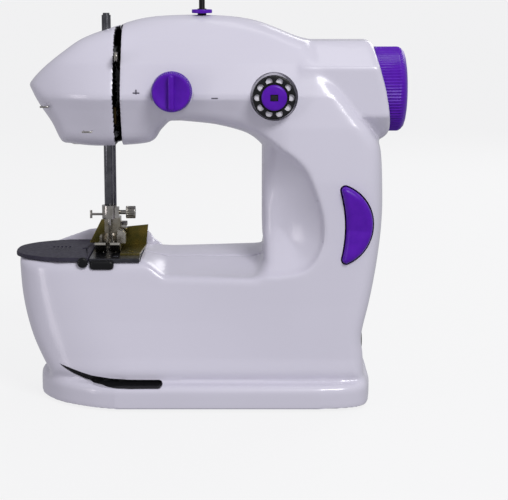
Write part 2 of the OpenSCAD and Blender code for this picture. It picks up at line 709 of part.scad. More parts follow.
module presser_bar() color("#8b8c91") {
    rod_z(presser_z, presser_x, presser_y, presser_bar_d / 2);
    difference() {
        union() {
            rod_z(collar_presser_z, presser_x, presser_y, 2.9);
            box([-56, -50.4], [presser_y - 1, 12.6], collar_presser_z);
            box([-52, -50], [presser_y - 2, presser_y + 2], collar_presser_z);
        }
        rod_z([140, 155], presser_x, presser_y, presser_bar_d / 2);
    }
}
spring_turns = 8;
module presser_spring() color("#6f7075") for (k = [0 : spring_turns - 1])
    translate([presser_x, presser_y, collar_presser_z[1] + 0.8 + k * 2.5]) rotate_extrude()
        translate([2.5, 0]) circle(r = 0.35, $fn = 16);
foot_top_z = 87.4;
sole_z = bed_z + 0.3;
module presser_foot() color("#c6c7cb") difference() {
    union() {
        // Shank that clamps on the bar, with its arched yoke
        box([-53.5, -45.5], [2.4, 9.6], [77.5, foot_top_z]);
        slab_y([-4.6, 2.8], [[-55.4, 75.4], [-42.4, 75.4], [-42.4, 79.5], [-44, 81.6], [-46.4, 82.3],
            [-46.4, 79.6], [-54.6, 79.6], [-55.4, 79]]);
        box([-57, -44.6], [-9.5, 8.5], [sole_z, sole_z + 2]);
        slab_x([-57, -44.6], [[-9.5, sole_z], [-9.5, sole_z + 2], [-14, sole_z + 5.4],
            [-14.8, sole_z + 4.4]]);
        box([-56, -45], [-3.6, 3], [sole_z + 1.9, 76]);
    }
    rod_z([presser_z[0], 90], presser_x, presser_y, presser_bar_d / 2);
    // Slot for the needle between the two toes
    box([needle_x - 1.1, needle_x + 1.1], [-20, 1], [70, 90]);
    rod_z([70, 90], needle_x, needle_y, 4);
    rod_x([-47, -40], presser_y, 82.5, 1.2);
}
module foot_screw() color("#d8d9dd") {
    rod_x([-47, -45.5], presser_y, 82.5, 1.2);
    difference() {
        rod_x([-45.5, -42.3], presser_y, 82.5, 2.8);
        box([-43, -42], [presser_y - 4, presser_y + 4], [82, 83]);
    }
}
lifter_arm_y = [34.2, 37];
module lifter_lever() color("#3c3a48") {
    rod_y([11.4, lifter_arm_y[1] - 1], lifter_x, lifter_z, 2.5);
    // Cam under the bracket of the presser bar
    box([lifter_x - 2, lifter_x + 4], [9, 12.2], [lifter_z + 3.2, lifter_z + 5.6]);
    box([lifter_x - 2.4, lifter_x + 2.4], [11.4, 13.6], [lifter_z - 2.4, lifter_z + 5.6]);
    hull() {
        rod_y(lifter_arm_y, lifter_x, lifter_z, 5);
        rod_y(lifter_arm_y, lifter_x + 22, lifter_z - 7, 3.6);
    }
    rod_y([lifter_arm_y[1] - 0.5, lifter_arm_y[1] + 3], lifter_x + 22, lifter_z - 7, 3.2);
}

// ---- thread tension, spindle and spool ----

stud_r = 1.8;
stud_y = [-36.6, -13];
// Front faces of the two tension discs
disc_y = [-23, -21.3];
module tension_stud() color("#a9abb0") {
    rod_y(stud_y, dial_x, dial_z, stud_r);
    rod_y([disc_y[0] - 1.3, disc_y[0]], dial_x, dial_z, 4.2);
}
module tension_discs() color("#d5d6da") for (y = disc_y) difference() {
    rod_y([y + 0.1, y + 0.9], dial_x, dial_z, 5.6);
    rod_y([y - 1, y + 2], dial_x, dial_z, stud_r + fit);
}
module tension_spring() color("#8b8c91") for (k = [0 : 3])
    translate([dial_x, disc_y[1] + 1.5 + k * 1.4, dial_z]) rotate([90, 0, 0]) rotate_extrude()
        translate([3.2, 0]) circle(r = 0.4, $fn = 16);
module tension_knob() color("#5a22b8") difference() {
    union() {
        rod_y(dial_y, dial_x, dial_z, dial_d / 2);
        box([dial_x - 1.6, dial_x + 1.6], [dial_y[0] - 2, dial_y[0] + 1], [dial_z - 8.4, dial_z + 8.4]);
    }
    rod_y([-37, -20], dial_x, dial_z, stud_r + fit);
    rod_y([-34, -20], dial_x, dial_z, 6.6);
    for (k = [0 : 29]) translate([dial_x, 0, dial_z]) rotate([0, 12 * k, 0])
        rod_y([-37.4, -31.6], 0, dial_d / 2 + 0.35, 0.7);
}
// Plus on the left and minus on the right of the dial
mark_x = [-34.3, 3.2];
module dial_marks() color("#4a4a52") {
    for (m = [[1.6, 0.3], [0.3, 1.6]])
        box([mark_x[0] - m[0], mark_x[0] + m[0]], [-30.9, -29.3], [152.6 - m[1], 152.6 + m[1]]);
    box([mark_x[1] - 1.6, mark_x[1] + 1.6], [-31.2, -29.8], [149.8, 150.4]);
}
module bobbin_spindle() color("#5a22b8") {
    rod_y([-37.6, bobbin_seat_y], spindle_x, spindle_z, 2.8);
    rod_y([bobbin_seat_y, -22], spindle_x, spindle_z, 2.5);
    difference() {
        rod_y([-39, -37.6], spindle_x, spindle_z, 5.6);
        box([spindle_x - 2, spindle_x + 2], [-40, -38.2], [spindle_z - 1.8, spindle_z + 1.8]);
    }
}
module front_bobbin() color("#26262b") translate([spindle_x, -32.6, spindle_z]) rotate([90, 0, 0])
    bobbin(bobbin_d / 2, 4.7, 2.8 + fit);
module bobbin_thread() color("#f1f0f4") translate([spindle_x, -32.6, spindle_z]) rotate([90, 0, 0])
difference() {
    translate([0, 0, -3.7]) cylinder(h = 7.4, r = 6.3);
    translate([0, 0, -5]) cylinder(h = 10, r = 5);
}
module rocker_switch() color("#5a22b8") difference() {
    union() {
        translate([0, -34.2, 0]) rotate([90, 0, 0]) linear_extrude(5.3) rocker_outline(0);
        // Trunnion that the rocker tips on, in the mouth of the switch
        rod_x([rocker_pivot[0] - 3.5, rocker_pivot[0] + 2.5], rocker_pivot[1], rocker_pivot[2], 1.6);
    }
    // Two faces of the rocker meet in a shallow valley
    slab_x([55, 90], [[-45, 87], [-38.3, 87], [-39.5, 112], [-45, 112]]);
    slab_x([55, 90], [[-45, 64], [-39.5, 64], [-38.3, 87], [-45, 87]]);
}
module switch_body() color("#2e2e33") {
    difference() {
        box([64, 74], [-33, -18], [79, 97]);
        box([65.2, 72.8], [-40, -31], [80.2, 95.8]);
    }
    for (z = [83, 88, 93]) box([67.5, 70.5], [-18, -13], [z - 0.4, z + 0.4]);
}
spool_top_z = collar_z + 1.6 + spool_pin_h;
spool_shank_r = 2.2;
module spool_pin() color("#2a2a2e") {
    rod_z([183, spool_top_z], spool_x, 0, spool_pin_d / 2);
    translate([spool_x, 0, spool_top_z]) sphere(r = spool_pin_d / 2);
    // Thicker shank that guides the pin in its collar, and the flange that keeps it in
    rod_z([183, collar_z + 2.2], spool_x, 0, spool_shank_r);
    rod_z([183, 184.2], spool_x, 0, 3.2);
}
module spool_collar() color("#5a22b8") difference() {
    rod_z([collar_z, collar_z + 1.8], spool_x, 0, collar_r);
    rod_z([180, 200], spool_x, 0, spool_shank_r + fit);
}
module wire_guide(p, w) {
    for (s = [-1, 1]) rod_y([p[1] - 2.2, p[1] + 2], p[0] + s * w, p[2], 0.45);
    rod_x([p[0] - w - 0.45, p[0] + w + 0.45], p[1] - 2.2, p[2], 0.45);
}
module thread_guides() color("#b9bac0") {
    wire_guide([-58, -28.6, 134], 2);
    wire_guide([-79.8, -17.2, 145], 1.6);
}
module lamp() color("#f6f2dc") {
    rod_z([125, 129.4], lamp_xy[0], lamp_xy[1], 3.9);
    rod_z([129.4, 130.6], lamp_xy[0], lamp_xy[1], 5.2);
}
module circuit_board() color("#2e6b46") {
    box([48, 66.5], [-22, 12], [20, 21.6]);
    box([50, 56], [-16, -8], [21.6, 28]);
    for (k = [0 : 2]) rod_z([21.6, 29], 60, -14 + 9 * k, 2.6);
    box([50, 57], [-2, 8], [21.6, 24.6]);
}
module socket_block() color("#232327") difference() {
    union() {
        box([66.5, jack_face_x - 1], [jack_y[0] - 6, jack_y[1] + 6], [jack_z - 6, jack_z + 6]);
        for (y = jack_y) rod_x([jack_face_x - 1, jack_face_x], y, jack_z, 4.6);
    }
    rod_x([68, 80], jack_y[0], jack_z, pedal_jack_d / 2);
    difference() {
        rod_x([68, 80], jack_y[1], jack_z, 2.8);
        rod_x([67, 75], jack_y[1], jack_z, 0.65);
    }
}
module casing_screws() color("#8b8c91") for (p = screw_xz) {
    rod_y([-8, screw_head_y], p[0], p[1], screw_r);
    difference() {
        rod_y([screw_head_y, screw_head_y + 2], p[0], p[1], 2.7);
        box([p[0] - 1.8, p[0] + 1.8], [screw_head_y + 1.2, screw_head_y + 3], [p[1] - 0.35, p[1] + 0.35]);
        box([p[0] - 0.35, p[0] + 0.35], [screw_head_y + 1.2, screw_head_y + 3], [p[1] - 1.8, p[1] + 1.8]);
    }
}

front_casing();
rear_casing();
face_cover();
base_plate();
battery_door();
rubber_feet();
battery_box();
battery_contacts();
slide_cover();
needle_plate();
guard_plate();
arm_frame();
shaft_bushings();
main_shaft();
crank_disc();
hand_wheel();
main_pulley();
timing_pulley();
timing_belt();
hook_pulley();
hook_shaft();
hook_frame();
rotary_hook();
bobbin_case();
lower_bobbin();
feed_bar();
motor();
motor_bracket();
motor_pulley();
drive_belt();
head_frame();
needle_bar();
needle_bar_yoke();
needle();
needle_clamp();
clamp_screw();
take_up_lever();
take_up_pivot();
presser_bar();
presser_spring();
presser_foot();
foot_screw();
lifter_lever();
tension_stud();
tension_discs();
tension_spring();
tension_knob();
dial_marks();
bobbin_spindle();
front_bobbin();
bobbin_thread();
rocker_switch();
switch_body();
spool_pin();
spool_collar();
thread_guides();
lamp();
circuit_board();
socket_block();
casing_screws();
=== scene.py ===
"""Looks of the mini sewing machine: moulded casing, trim, metalwork, materials, light and camera."""
import json
import math

import bmesh
import bpy
import numpy as np
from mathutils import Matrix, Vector


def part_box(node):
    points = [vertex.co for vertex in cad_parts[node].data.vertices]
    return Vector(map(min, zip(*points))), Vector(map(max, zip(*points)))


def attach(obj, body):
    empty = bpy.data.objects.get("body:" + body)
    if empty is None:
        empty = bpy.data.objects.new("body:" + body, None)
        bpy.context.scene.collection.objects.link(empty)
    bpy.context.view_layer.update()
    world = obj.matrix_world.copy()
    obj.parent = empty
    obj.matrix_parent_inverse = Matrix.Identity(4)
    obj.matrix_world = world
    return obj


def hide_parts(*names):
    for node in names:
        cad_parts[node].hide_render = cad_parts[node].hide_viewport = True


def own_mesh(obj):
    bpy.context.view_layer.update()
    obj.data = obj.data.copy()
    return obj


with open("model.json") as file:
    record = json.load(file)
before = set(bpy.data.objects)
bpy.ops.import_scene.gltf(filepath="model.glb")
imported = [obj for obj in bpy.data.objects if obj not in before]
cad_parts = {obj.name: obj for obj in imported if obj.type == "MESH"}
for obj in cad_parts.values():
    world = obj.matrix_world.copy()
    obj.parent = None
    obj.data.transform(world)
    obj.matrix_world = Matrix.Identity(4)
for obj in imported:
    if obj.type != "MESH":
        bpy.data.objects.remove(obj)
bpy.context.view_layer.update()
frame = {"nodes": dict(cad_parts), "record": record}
NODES = frame["nodes"]
MM = 0.001

# ---------------------------------------------------------------- camera and light

CAMERA_TARGET = Vector((22.0, 0.0, 71.2)) * MM
CAMERA_DISTANCE = 0.800
CAMERA_ELEVATION = math.radians(10.0)
CAMERA_LENS = 112.25
FLOOR_HALF = 60.0


def make_camera():
    data = bpy.data.cameras.new("camera")
    data.lens = CAMERA_LENS
    data.sensor_width = 36.0
    data.clip_start = 0.01
    camera = bpy.data.objects.new("camera", data)
    back = Vector((0.0, -math.cos(CAMERA_ELEVATION), math.sin(CAMERA_ELEVATION)))
    camera.location = CAMERA_TARGET + back * CAMERA_DISTANCE
    camera.rotation_euler = (-back).to_track_quat("-Z", "Y").to_euler()
    bpy.context.scene.collection.objects.link(camera)
    bpy.context.scene.camera = camera


def area_light(name, place, aim, size, watts, tint=(1.0, 1.0, 1.0)):
    data = bpy.data.lights.new(name, "AREA")
    data.shape = "RECTANGLE"
    data.size, data.size_y = size
    data.energy = watts
    data.color = tint
    light = bpy.data.objects.new(name, data)
    light.location = Vector(place)
    light.rotation_euler = (Vector(aim) - Vector(place)).to_track_quat("-Z", "Y").to_euler()
    bpy.context.scene.collection.objects.link(light)


def make_lights():
    world = bpy.data.worlds.new("studio")
    world.use_nodes = True
    nodes, links = world.node_tree.nodes, world.node_tree.links
    ambient = nodes["Background"]
    ambient.inputs["Color"].default_value = (0.95, 0.95, 1.0, 1.0)
    ambient.inputs["Strength"].default_value = 0.45
    # The camera sees a backdrop as pale as the paper; the body gets the dimmer ambient light
    backdrop = nodes.new("ShaderNodeBackground")
    backdrop.inputs["Color"].default_value = (0.87, 0.87, 0.875, 1.0)
    seen = nodes.new("ShaderNodeMixShader")
    links.new(nodes.new("ShaderNodeLightPath").outputs["Is Camera Ray"], seen.inputs["Fac"])
    links.new(ambient.outputs["Background"], seen.inputs[1])
    links.new(backdrop.outputs["Background"], seen.inputs[2])
    links.new(seen.outputs["Shader"], nodes["World Output"].inputs["Surface"])
    bpy.context.scene.world = world
    bpy.context.scene.view_settings.view_transform = "Standard"
    middle = (0.0, 0.0, 0.1)
    area_light("key_front_right", (0.42, -0.80, 0.90), middle, (0.40, 0.40), 8.6)
    area_light("fill_front_left", (-0.85, -0.65, 0.12), middle, (0.2, 0.5), 1.5, (1.0, 0.95, 1.0))
    area_light("top_strip", (0.1, 0.05, 0.9), middle, (0.5, 0.12), 0.3)
    area_light("back_fill", (0.5, 0.9, 0.6), middle, (0.6, 0.6), 3.0)


def make_floor():
    mesh = bpy.data.meshes.new("floor")
    half = FLOOR_HALF
    corners = [(-half, -half, 0), (half, -half, 0), (half, half, 0), (-half, half, 0)]
    mesh.from_pydata(corners, [], [(0, 1, 2, 3)])
    floor = bpy.data.objects.new("floor", mesh)
    bpy.context.scene.collection.objects.link(floor)
    floor.data.materials.append(paper_white())
    # The paper throws no light back onto the body, so the folds keep their shade
    floor.visible_diffuse = False
    floor.visible_glossy = False


# ---------------------------------------------------------------- material building blocks

class Shader:
    """A Principled material with a few helpers to wire procedural detail into it."""

    def __init__(self, name, color, roughness, **sockets):
        self.material = bpy.data.materials.new(name)
        self.material.use_nodes = True
        self.tree = self.material.node_tree
        self.surface = self.tree.nodes["Principled BSDF"]
        self.color = (*color, 1.0)
        self.surface.inputs["Base Color"].default_value = self.color
        self.surface.inputs["Roughness"].default_value = roughness
        self.roughness = roughness
        for label, value in sockets.items():
            self.surface.inputs[label.replace("_", " ")].default_value = value
        self.place = self.node("ShaderNodeTexCoord").outputs["Object"]
        self.last_bump = None

    def node(self, kind, **settings):
        made = self.tree.nodes.new(kind)
        for label, value in settings.items():
            setattr(made, label, value)
        return made

    def link(self, source, target):
        self.tree.links.new(source, target)

    def noise(self, scale, detail=3.0, rough=0.55, stretch=None):
        """Noise in the object's own space; scale is in waves per metre."""
        made = self.node("ShaderNodeTexNoise")
        made.inputs["Scale"].default_value = scale
        made.inputs["Detail"].default_value = detail
        made.inputs["Roughness"].default_value = rough
        source = self.place
        if stretch:
            mapping = self.node("ShaderNodeMapping")
            mapping.inputs["Scale"].default_value = stretch
            self.link(self.place, mapping.inputs["Vector"])
            source = mapping.outputs["Vector"]
        self.link(source, made.inputs["Vector"])
        return made.outputs["Fac"]

    def ramp(self, source, low, high, value_low, value_high):
        made = self.node("ShaderNodeMapRange")
        made.inputs["From Min"].default_value = low
        made.inputs["From Max"].default_value = high
        made.inputs["To Min"].default_value = value_low
        made.inputs["To Max"].default_value = value_high
        self.link(source, made.inputs["Value"])
        return made.outputs["Result"]

    def vary_roughness(self, source, spread):
        self.link(self.ramp(source, 0.3, 0.7, self.roughness - spread, self.roughness + spread),
                  self.surface.inputs["Roughness"])

    def vary_color(self, source, other, low=0.35, high=0.65):
        """Mixes the base colour with another where the source is high."""
        mix = self.node("ShaderNodeMix", data_type="RGBA")
        mix.inputs["A"].default_value = self.color
        mix.inputs["B"].default_value = (*other, 1.0)
        self.link(self.ramp(source, low, high, 0.0, 1.0), mix.inputs["Factor"])
        self.link(mix.outputs["Result"], self.surface.inputs["Base Color"])

    def edge_wear(self, worn, amount=1.0, low=0.52, high=0.60):
        """Lightens convex edges, as handling does."""
        point = self.node("ShaderNodeNewGeometry").outputs["Pointiness"]
        grit = self.noise(900.0, 4.0)
        mask = self.node("ShaderNodeMath", operation="MULTIPLY")
        self.link(self.ramp(point, low, high, 0.0, amount), mask.inputs[0])
        self.link(self.ramp(grit, 0.35, 0.7, 0.4, 1.0), mask.inputs[1])
        mix = self.node("ShaderNodeMix", data_type="RGBA")
        base = self.surface.inputs["Base Color"]
        if base.is_linked:
            self.link(base.links[0].from_socket, mix.inputs["A"])
        else:
            mix.inputs["A"].default_value = self.color
        mix.inputs["B"].default_value = (*worn, 1.0)
        self.link(mask.outputs["Value"], mix.inputs["Factor"])
        self.link(mix.outputs["Result"], base)

    def bump(self, source, height, strength=1.0):
        made = self.node("ShaderNodeBump")
        made.inputs["Distance"].default_value = height
        made.inputs["Strength"].default_value = strength
        self.link(source, made.inputs["Height"])
        if self.last_bump:
            self.link(self.last_bump, made.inputs["Normal"])
        self.last_bump = made.outputs["Normal"]
        self.link(self.last_bump, self.surface.inputs["Normal"])


def paper_white():
    shader = Shader("studio_paper", (0.08, 0.08, 0.081), 0.9, Emission_Strength=0.845,
                    Specular_IOR_Level=0.1)
    shader.surface.inputs["Emission Color"].default_value = (0.98, 0.98, 0.985, 1.0)
    shader.bump(shader.noise(60.0, 2.0), 0.0004, 0.2)
    return shader.material


def gloss_casing():
    shader = Shader("casing_white", (0.60, 0.58, 0.67), 0.26, Coat_Weight=0.2, Coat_Roughness=0.12)
    shader.vary_color(shader.noise(9.0, 3.0), (0.62, 0.60, 0.695))
    shader.vary_roughness(shader.noise(260.0, 5.0), 0.01)
    shader.bump(shader.noise(420.0, 3.0), 0.00002, 0.2)
    shader.bump(shader.noise(3200.0, 2.0), 0.00002, 0.15)
    return shader.material


def violet_plastic():
    shader = Shader("purple_plastic", (0.080, 0.004, 0.36), 0.34, Specular_IOR_Level=0.22)
    shader.vary_color(shader.noise(240.0, 4.0), (0.095, 0.006, 0.40))
    shader.vary_roughness(shader.noise(700.0, 4.0), 0.07)
    shader.bump(shader.noise(2400.0, 3.0), 0.00003, 0.3)
    return shader.material


def slate_plastic():
    shader = Shader("cover_plastic", (0.025, 0.023, 0.036), 0.5, Specular_IOR_Level=0.12)
    shader.vary_color(shader.noise(160.0, 4.0), (0.033, 0.030, 0.047))
    shader.vary_roughness(shader.noise(500.0, 5.0), 0.08)
    shader.edge_wear((0.10, 0.09, 0.13), 0.4)
    shader.bump(shader.noise(1800.0, 3.0), 0.00005, 0.4)
    return shader.material


def black_plastic():
    shader = Shader("black_plastic", (0.007, 0.007, 0.008), 0.36, Specular_IOR_Level=0.16)
    shader.vary_roughness(shader.noise(600.0, 5.0), 0.09)
    shader.edge_wear((0.04, 0.04, 0.045), 0.4)
    shader.bump(shader.noise(2600.0, 3.0), 0.00004, 0.4)
    return shader.material


def rubber(name, color):
    shader = Shader(name, color, 0.78)
    shader.vary_color(shader.noise(300.0, 5.0), (0.05, 0.05, 0.052))
    shader.bump(shader.noise(1500.0, 5.0), 0.0001, 0.6)
    return shader.material


def nylon():
    shader = Shader("nylon_cream", (0.70, 0.67, 0.58), 0.45, Subsurface_Weight=0.1,
                    Subsurface_Scale=0.002)
    shader.vary_color(shader.noise(200.0, 3.0), (0.62, 0.58, 0.48))
    shader.bump(shader.noise(2000.0, 3.0), 0.00004, 0.3)
    return shader.material


def metal(name, color, roughness, other, grain=(1.0, 1.0, 1.0), wear=None):
    """Steel, bronze or plated metal; grain stretches the brush marks along an axis."""
    shader = Shader(name, color, roughness, Metallic=1.0)
    marks = shader.noise(1500.0, 4.0, 0.6, grain)
    shader.vary_color(shader.noise(180.0, 4.0), other)
    shader.vary_roughness(marks, roughness * 0.35)
    if wear:
        shader.edge_wear(wear, 0.8)
    shader.bump(marks, 0.00003, 0.4)
    return shader.material


def die_casting():
    shader = Shader("frame_metal", (0.33, 0.34, 0.36), 0.5, Metallic=0.9)
    shader.vary_color(shader.noise(400.0, 6.0), (0.24, 0.25, 0.27))
    shader.edge_wear((0.5, 0.5, 0.52), 0.7)
    shader.bump(shader.noise(1600.0, 6.0), 0.00012, 0.6)
    return shader.material


def printed_mark():
    shader = Shader("mark_grey", (0.07, 0.065, 0.09), 0.5)
    shader.vary_color(shader.noise(900.0, 4.0), (0.10, 0.09, 0.13))
    shader.bump(shader.noise(1800.0, 3.0), 0.00003, 0.3)
    return shader.material


THREAD_PITCH = 0.28 * MM


def thread_winding():
    """Fine turns of thread round the bobbin's own axis, which lies along Y."""
    shader = Shader("thread_white", (0.82, 0.80, 0.86), 0.7, Sheen_Weight=0.4)
    split = shader.node("ShaderNodeSeparateXYZ")
    shader.link(shader.place, split.inputs["Vector"])
    turns = shader.node("ShaderNodeMath", operation="SINE")
    scaled = shader.node("ShaderNodeMath", operation="MULTIPLY")
    scaled.inputs[1].default_value = 2.0 * math.pi / THREAD_PITCH
    shader.link(split.outputs["Y"], scaled.inputs[0])
    shader.link(scaled.outputs["Value"], turns.inputs[0])
    shader.vary_color(shader.noise(1500.0, 4.0), (0.70, 0.68, 0.76))
    shader.bump(turns.outputs["Value"], 0.00008, 0.8)
    return shader.material


def lamp_lens():
    shader = Shader("lamp_lens", (0.94, 0.92, 0.84), 0.28, Transmission_Weight=0.6, IOR=1.49)
    shader.vary_roughness(shader.noise(900.0, 3.0), 0.08)
    shader.bump(shader.noise(1300.0, 2.0), 0.0001, 0.4)
    return shader.material


def solder_mask():
    shader = Shader("board_green", (0.02, 0.14, 0.06), 0.3, Coat_Weight=0.3)
    tracks = shader.node("ShaderNodeTexBrick")
    tracks.inputs["Scale"].default_value = 260.0
    tracks.inputs["Mortar Size"].default_value = 0.06
    shader.link(shader.place, tracks.inputs["Vector"])
    shader.vary_color(tracks.outputs["Fac"], (0.04, 0.24, 0.10), 0.2, 0.8)
    shader.bump(tracks.outputs["Fac"], 0.00006, 0.4)
    return shader.material


def make_materials():
    """One material for each of the record's slots."""
    return {
        "casing_white": gloss_casing(),
        "purple_plastic": violet_plastic(),
        "cover_plastic": slate_plastic(),
        "black_plastic": black_plastic(),
        "mark_grey": printed_mark(),
        "rubber_black": rubber("rubber_black", (0.028, 0.028, 0.030)),
        "belt_rubber": rubber("belt_rubber", (0.020, 0.020, 0.022)),
        "nylon_cream": nylon(),
        "frame_metal": die_casting(),
        "bronze": metal("bronze", (0.50, 0.31, 0.12), 0.36, (0.40, 0.24, 0.10)),
        "ground_steel": metal("ground_steel", (0.52, 0.53, 0.55), 0.26, (0.42, 0.43, 0.45),
                              (1.0, 6.0, 6.0)),
        "dark_steel": metal("dark_steel", (0.15, 0.15, 0.16), 0.24, (0.09, 0.09, 0.10),
                            (6.0, 6.0, 1.0)),
        "bright_steel": metal("bright_steel", (0.34, 0.325, 0.30), 0.22, (0.24, 0.225, 0.19),
                              wear=(0.60, 0.58, 0.55)),
        "foot_metal": metal("foot_metal", (0.36, 0.34, 0.29), 0.24, (0.25, 0.22, 0.16),
                            wear=(0.62, 0.60, 0.55)),
        "plate_steel": metal("plate_steel", (0.085, 0.085, 0.10), 0.30, (0.06, 0.06, 0.07),
                             (1.0, 14.0, 14.0)),
        "yellow_zinc": metal("yellow_zinc", (0.20, 0.15, 0.035), 0.32, (0.12, 0.11, 0.03),
                             wear=(0.42, 0.36, 0.15)),
        # Yoke brass darkened towards black: painted shade, since the yoke sits deep in the take-up slot.
        "yoke_brass": metal("yoke_brass", (0.15, 0.105, 0.04), 0.34, (0.10, 0.07, 0.03)),
        "spring_steel": metal("spring_steel", (0.34, 0.35, 0.37), 0.24, (0.26, 0.26, 0.28)),
        "contact_nickel": metal("contact_nickel", (0.62, 0.61, 0.57), 0.25, (0.50, 0.49, 0.45)),
        "thread_white": thread_winding(),
        "lamp_lens": lamp_lens(),
        "board_green": solder_mask(),
    }


# ---------------------------------------------------------------- distance fields, in millimetres

def curve(points, steps=8):
    """A smooth open Catmull-Rom curve through the points."""
    p = np.array(points, dtype=float)
    padded = np.vstack([p[0], p, p[-1]])
    out = []
    for i in range(len(p) - 1):
        a, b, c, d = padded[i:i + 4]
        for t in np.arange(steps) / steps:
            out.append(0.5 * (2 * b + (c - a) * t + (2 * a - 5 * b + 4 * c - d) * t ** 2
                              + (3 * b - 3 * c + d - a) * t ** 3))
    out.append(p[-1])
    return [tuple(q) for q in out]


def both_sides_plan(half):
    """An outline in X and Y, closed by its mirror image behind."""
    return half + [(a, -b) for a, b in reversed(half)]


def outline_distance(outline, u, v):
    """Signed distance to a closed outline on the grid u by v, negative inside."""
    points = np.array(outline, dtype=float)
    uu, vv = np.meshgrid(u, v, indexing="ij")
    nearest = np.full(uu.shape, 1e9)
    inside = np.zeros(uu.shape, dtype=bool)
    for (ax, ay), (bx, by) in zip(points, np.roll(points, -1, axis=0)):
        ex, ey = bx - ax, by - ay
        length2 = ex * ex + ey * ey
        if length2 < 1e-9:
            continue
        t = np.clip(((uu - ax) * ex + (vv - ay) * ey) / length2, 0.0, 1.0)
        nearest = np.minimum(nearest, (uu - ax - t * ex) ** 2 + (vv - ay - t * ey) ** 2)
        if ay != by:
            crosses = (ay > vv) != (by > vv)
            inside ^= crosses & (uu < (bx - ax) * (vv - ay) / (by - ay) + ax)
    distance = np.sqrt(nearest)
    return np.where(inside, -distance, distance)


def line_distance(points, u, v):
    """Distance to an open line, positive on its left, on the grid u by v."""
    p = np.array(points, dtype=float)
    uu, vv = np.meshgrid(u, v, indexing="ij")
    best = np.full(uu.shape, 1e9)
    side = np.zeros(uu.shape)
    for (ax, ay), (bx, by) in zip(p[:-1], p[1:]):
        ex, ey = bx - ax, by - ay
        t = np.clip(((uu - ax) * ex + (vv - ay) * ey) / (ex * ex + ey * ey), 0.0, 1.0)
        d2 = (uu - ax - t * ex) ** 2 + (vv - ay - t * ey) ** 2
        turn = ex * (vv - ay) - ey * (uu - ax)
        closer = d2 < best
        best = np.where(closer, d2, best)
        side = np.where(closer, np.sign(turn), side)
    return np.sqrt(best) * side


def smooth_step(low, high, value):
    t = np.clip((value - low) / (high - low), 0.0, 1.0)
    return t * t * (3.0 - 2.0 * t)


def join(a, b, blend):
    """Union with a fillet."""
    h = np.maximum(blend - np.abs(a - b), 0.0) / blend
    return np.minimum(a, b) - h * h * blend * 0.25


def meet(a, b, blend):
    """Intersection with a rounded edge."""
    return -join(-a, -b, blend)


def surface_net(field, origin, step):
    """Vertices and quads of the zero level of a field on a grid."""
    inside = field < 0.0
    corner_sum = np.zeros([n - 1 for n in field.shape], dtype=np.int8)
    offsets = [(i, j, k) for i in (0, 1) for j in (0, 1) for k in (0, 1)]
    nx, ny, nz = field.shape
    for i, j, k in offsets:
        corner_sum += inside[i:nx - 1 + i, j:ny - 1 + j, k:nz - 1 + k]
    cells = np.argwhere((corner_sum > 0) & (corner_sum < 8))
    corners = np.stack([field[cells[:, 0] + i, cells[:, 1] + j, cells[:, 2] + k]
                        for i, j, k in offsets], axis=1)
    total = np.zeros((len(cells), 3))
    count = np.zeros(len(cells))
    for a, ca in enumerate(offsets):
        for axis in range(3):
            if ca[axis]:
                continue
            cb = tuple(ca[n] + (n == axis) for n in range(3))
            b = offsets.index(cb)
            fa, fb = corners[:, a], corners[:, b]
            hit = (fa < 0) != (fb < 0)
            t = np.where(hit, fa / np.where(hit, fa - fb, 1.0), 0.0)
            point = np.array(ca, dtype=float)[None, :].repeat(len(cells), axis=0)
            point[:, axis] += t
            total += point * hit[:, None]
            count += hit
    vertices = origin + step * (cells + total / count[:, None])
    index = np.full(corner_sum.shape, -1, dtype=np.int64)
    index[cells[:, 0], cells[:, 1], cells[:, 2]] = np.arange(len(cells))
    quads = []
    for axis in range(3):
        low = [slice(None)] * 3
        high = [slice(None)] * 3
        low[axis] = slice(0, -1)
        high[axis] = slice(1, None)
        edge = inside[tuple(low)] != inside[tuple(high)]
        at = np.argwhere(edge)
        others = [n for n in range(3) if n != axis]
        keep = np.all([(at[:, n] > 0) & (at[:, n] < field.shape[n] - 1) for n in others], axis=0)
        at = at[keep]
        ring = []
        for du, dv in ((0, 0), (1, 0), (1, 1), (0, 1)):
            cell = at.copy()
            cell[:, others[0]] -= 1 - du
            cell[:, others[1]] -= 1 - dv
            ring.append(index[cell[:, 0], cell[:, 1], cell[:, 2]])
        ring = np.stack(ring, axis=1)
        flip = inside[at[:, 0], at[:, 1], at[:, 2]]
        if axis == 1:
            flip = ~flip
        ring[~flip] = ring[~flip][:, ::-1]
        quads.append(ring)
    return vertices, np.concatenate(quads)


def sample(field, origin, step, points):
    """Field values and slopes at points, by trilinear interpolation."""
    at = (points - origin) / step
    base = np.clip(np.floor(at).astype(int), 0, np.array(field.shape) - 2)
    f = at - base
    x, y, z = base.T
    c = {(i, j, k): field[x + i, y + j, z + k] for i in (0, 1) for j in (0, 1) for k in (0, 1)}
    fx, fy, fz = f.T

    def mix(i_weight, j_weight, k_weight):
        return sum(c[i, j, k] * i_weight[i] * j_weight[j] * k_weight[k] for i, j, k in c)

    wx, wy, wz = (1 - fx, fx), (1 - fy, fy), (1 - fz, fz)
    slope = (-1.0, 1.0)
    value = mix(wx, wy, wz)
    grad = np.stack([mix(slope, wy, wz), mix(wx, slope, wz), mix(wx, wy, slope)], axis=1) / step
    return value, grad


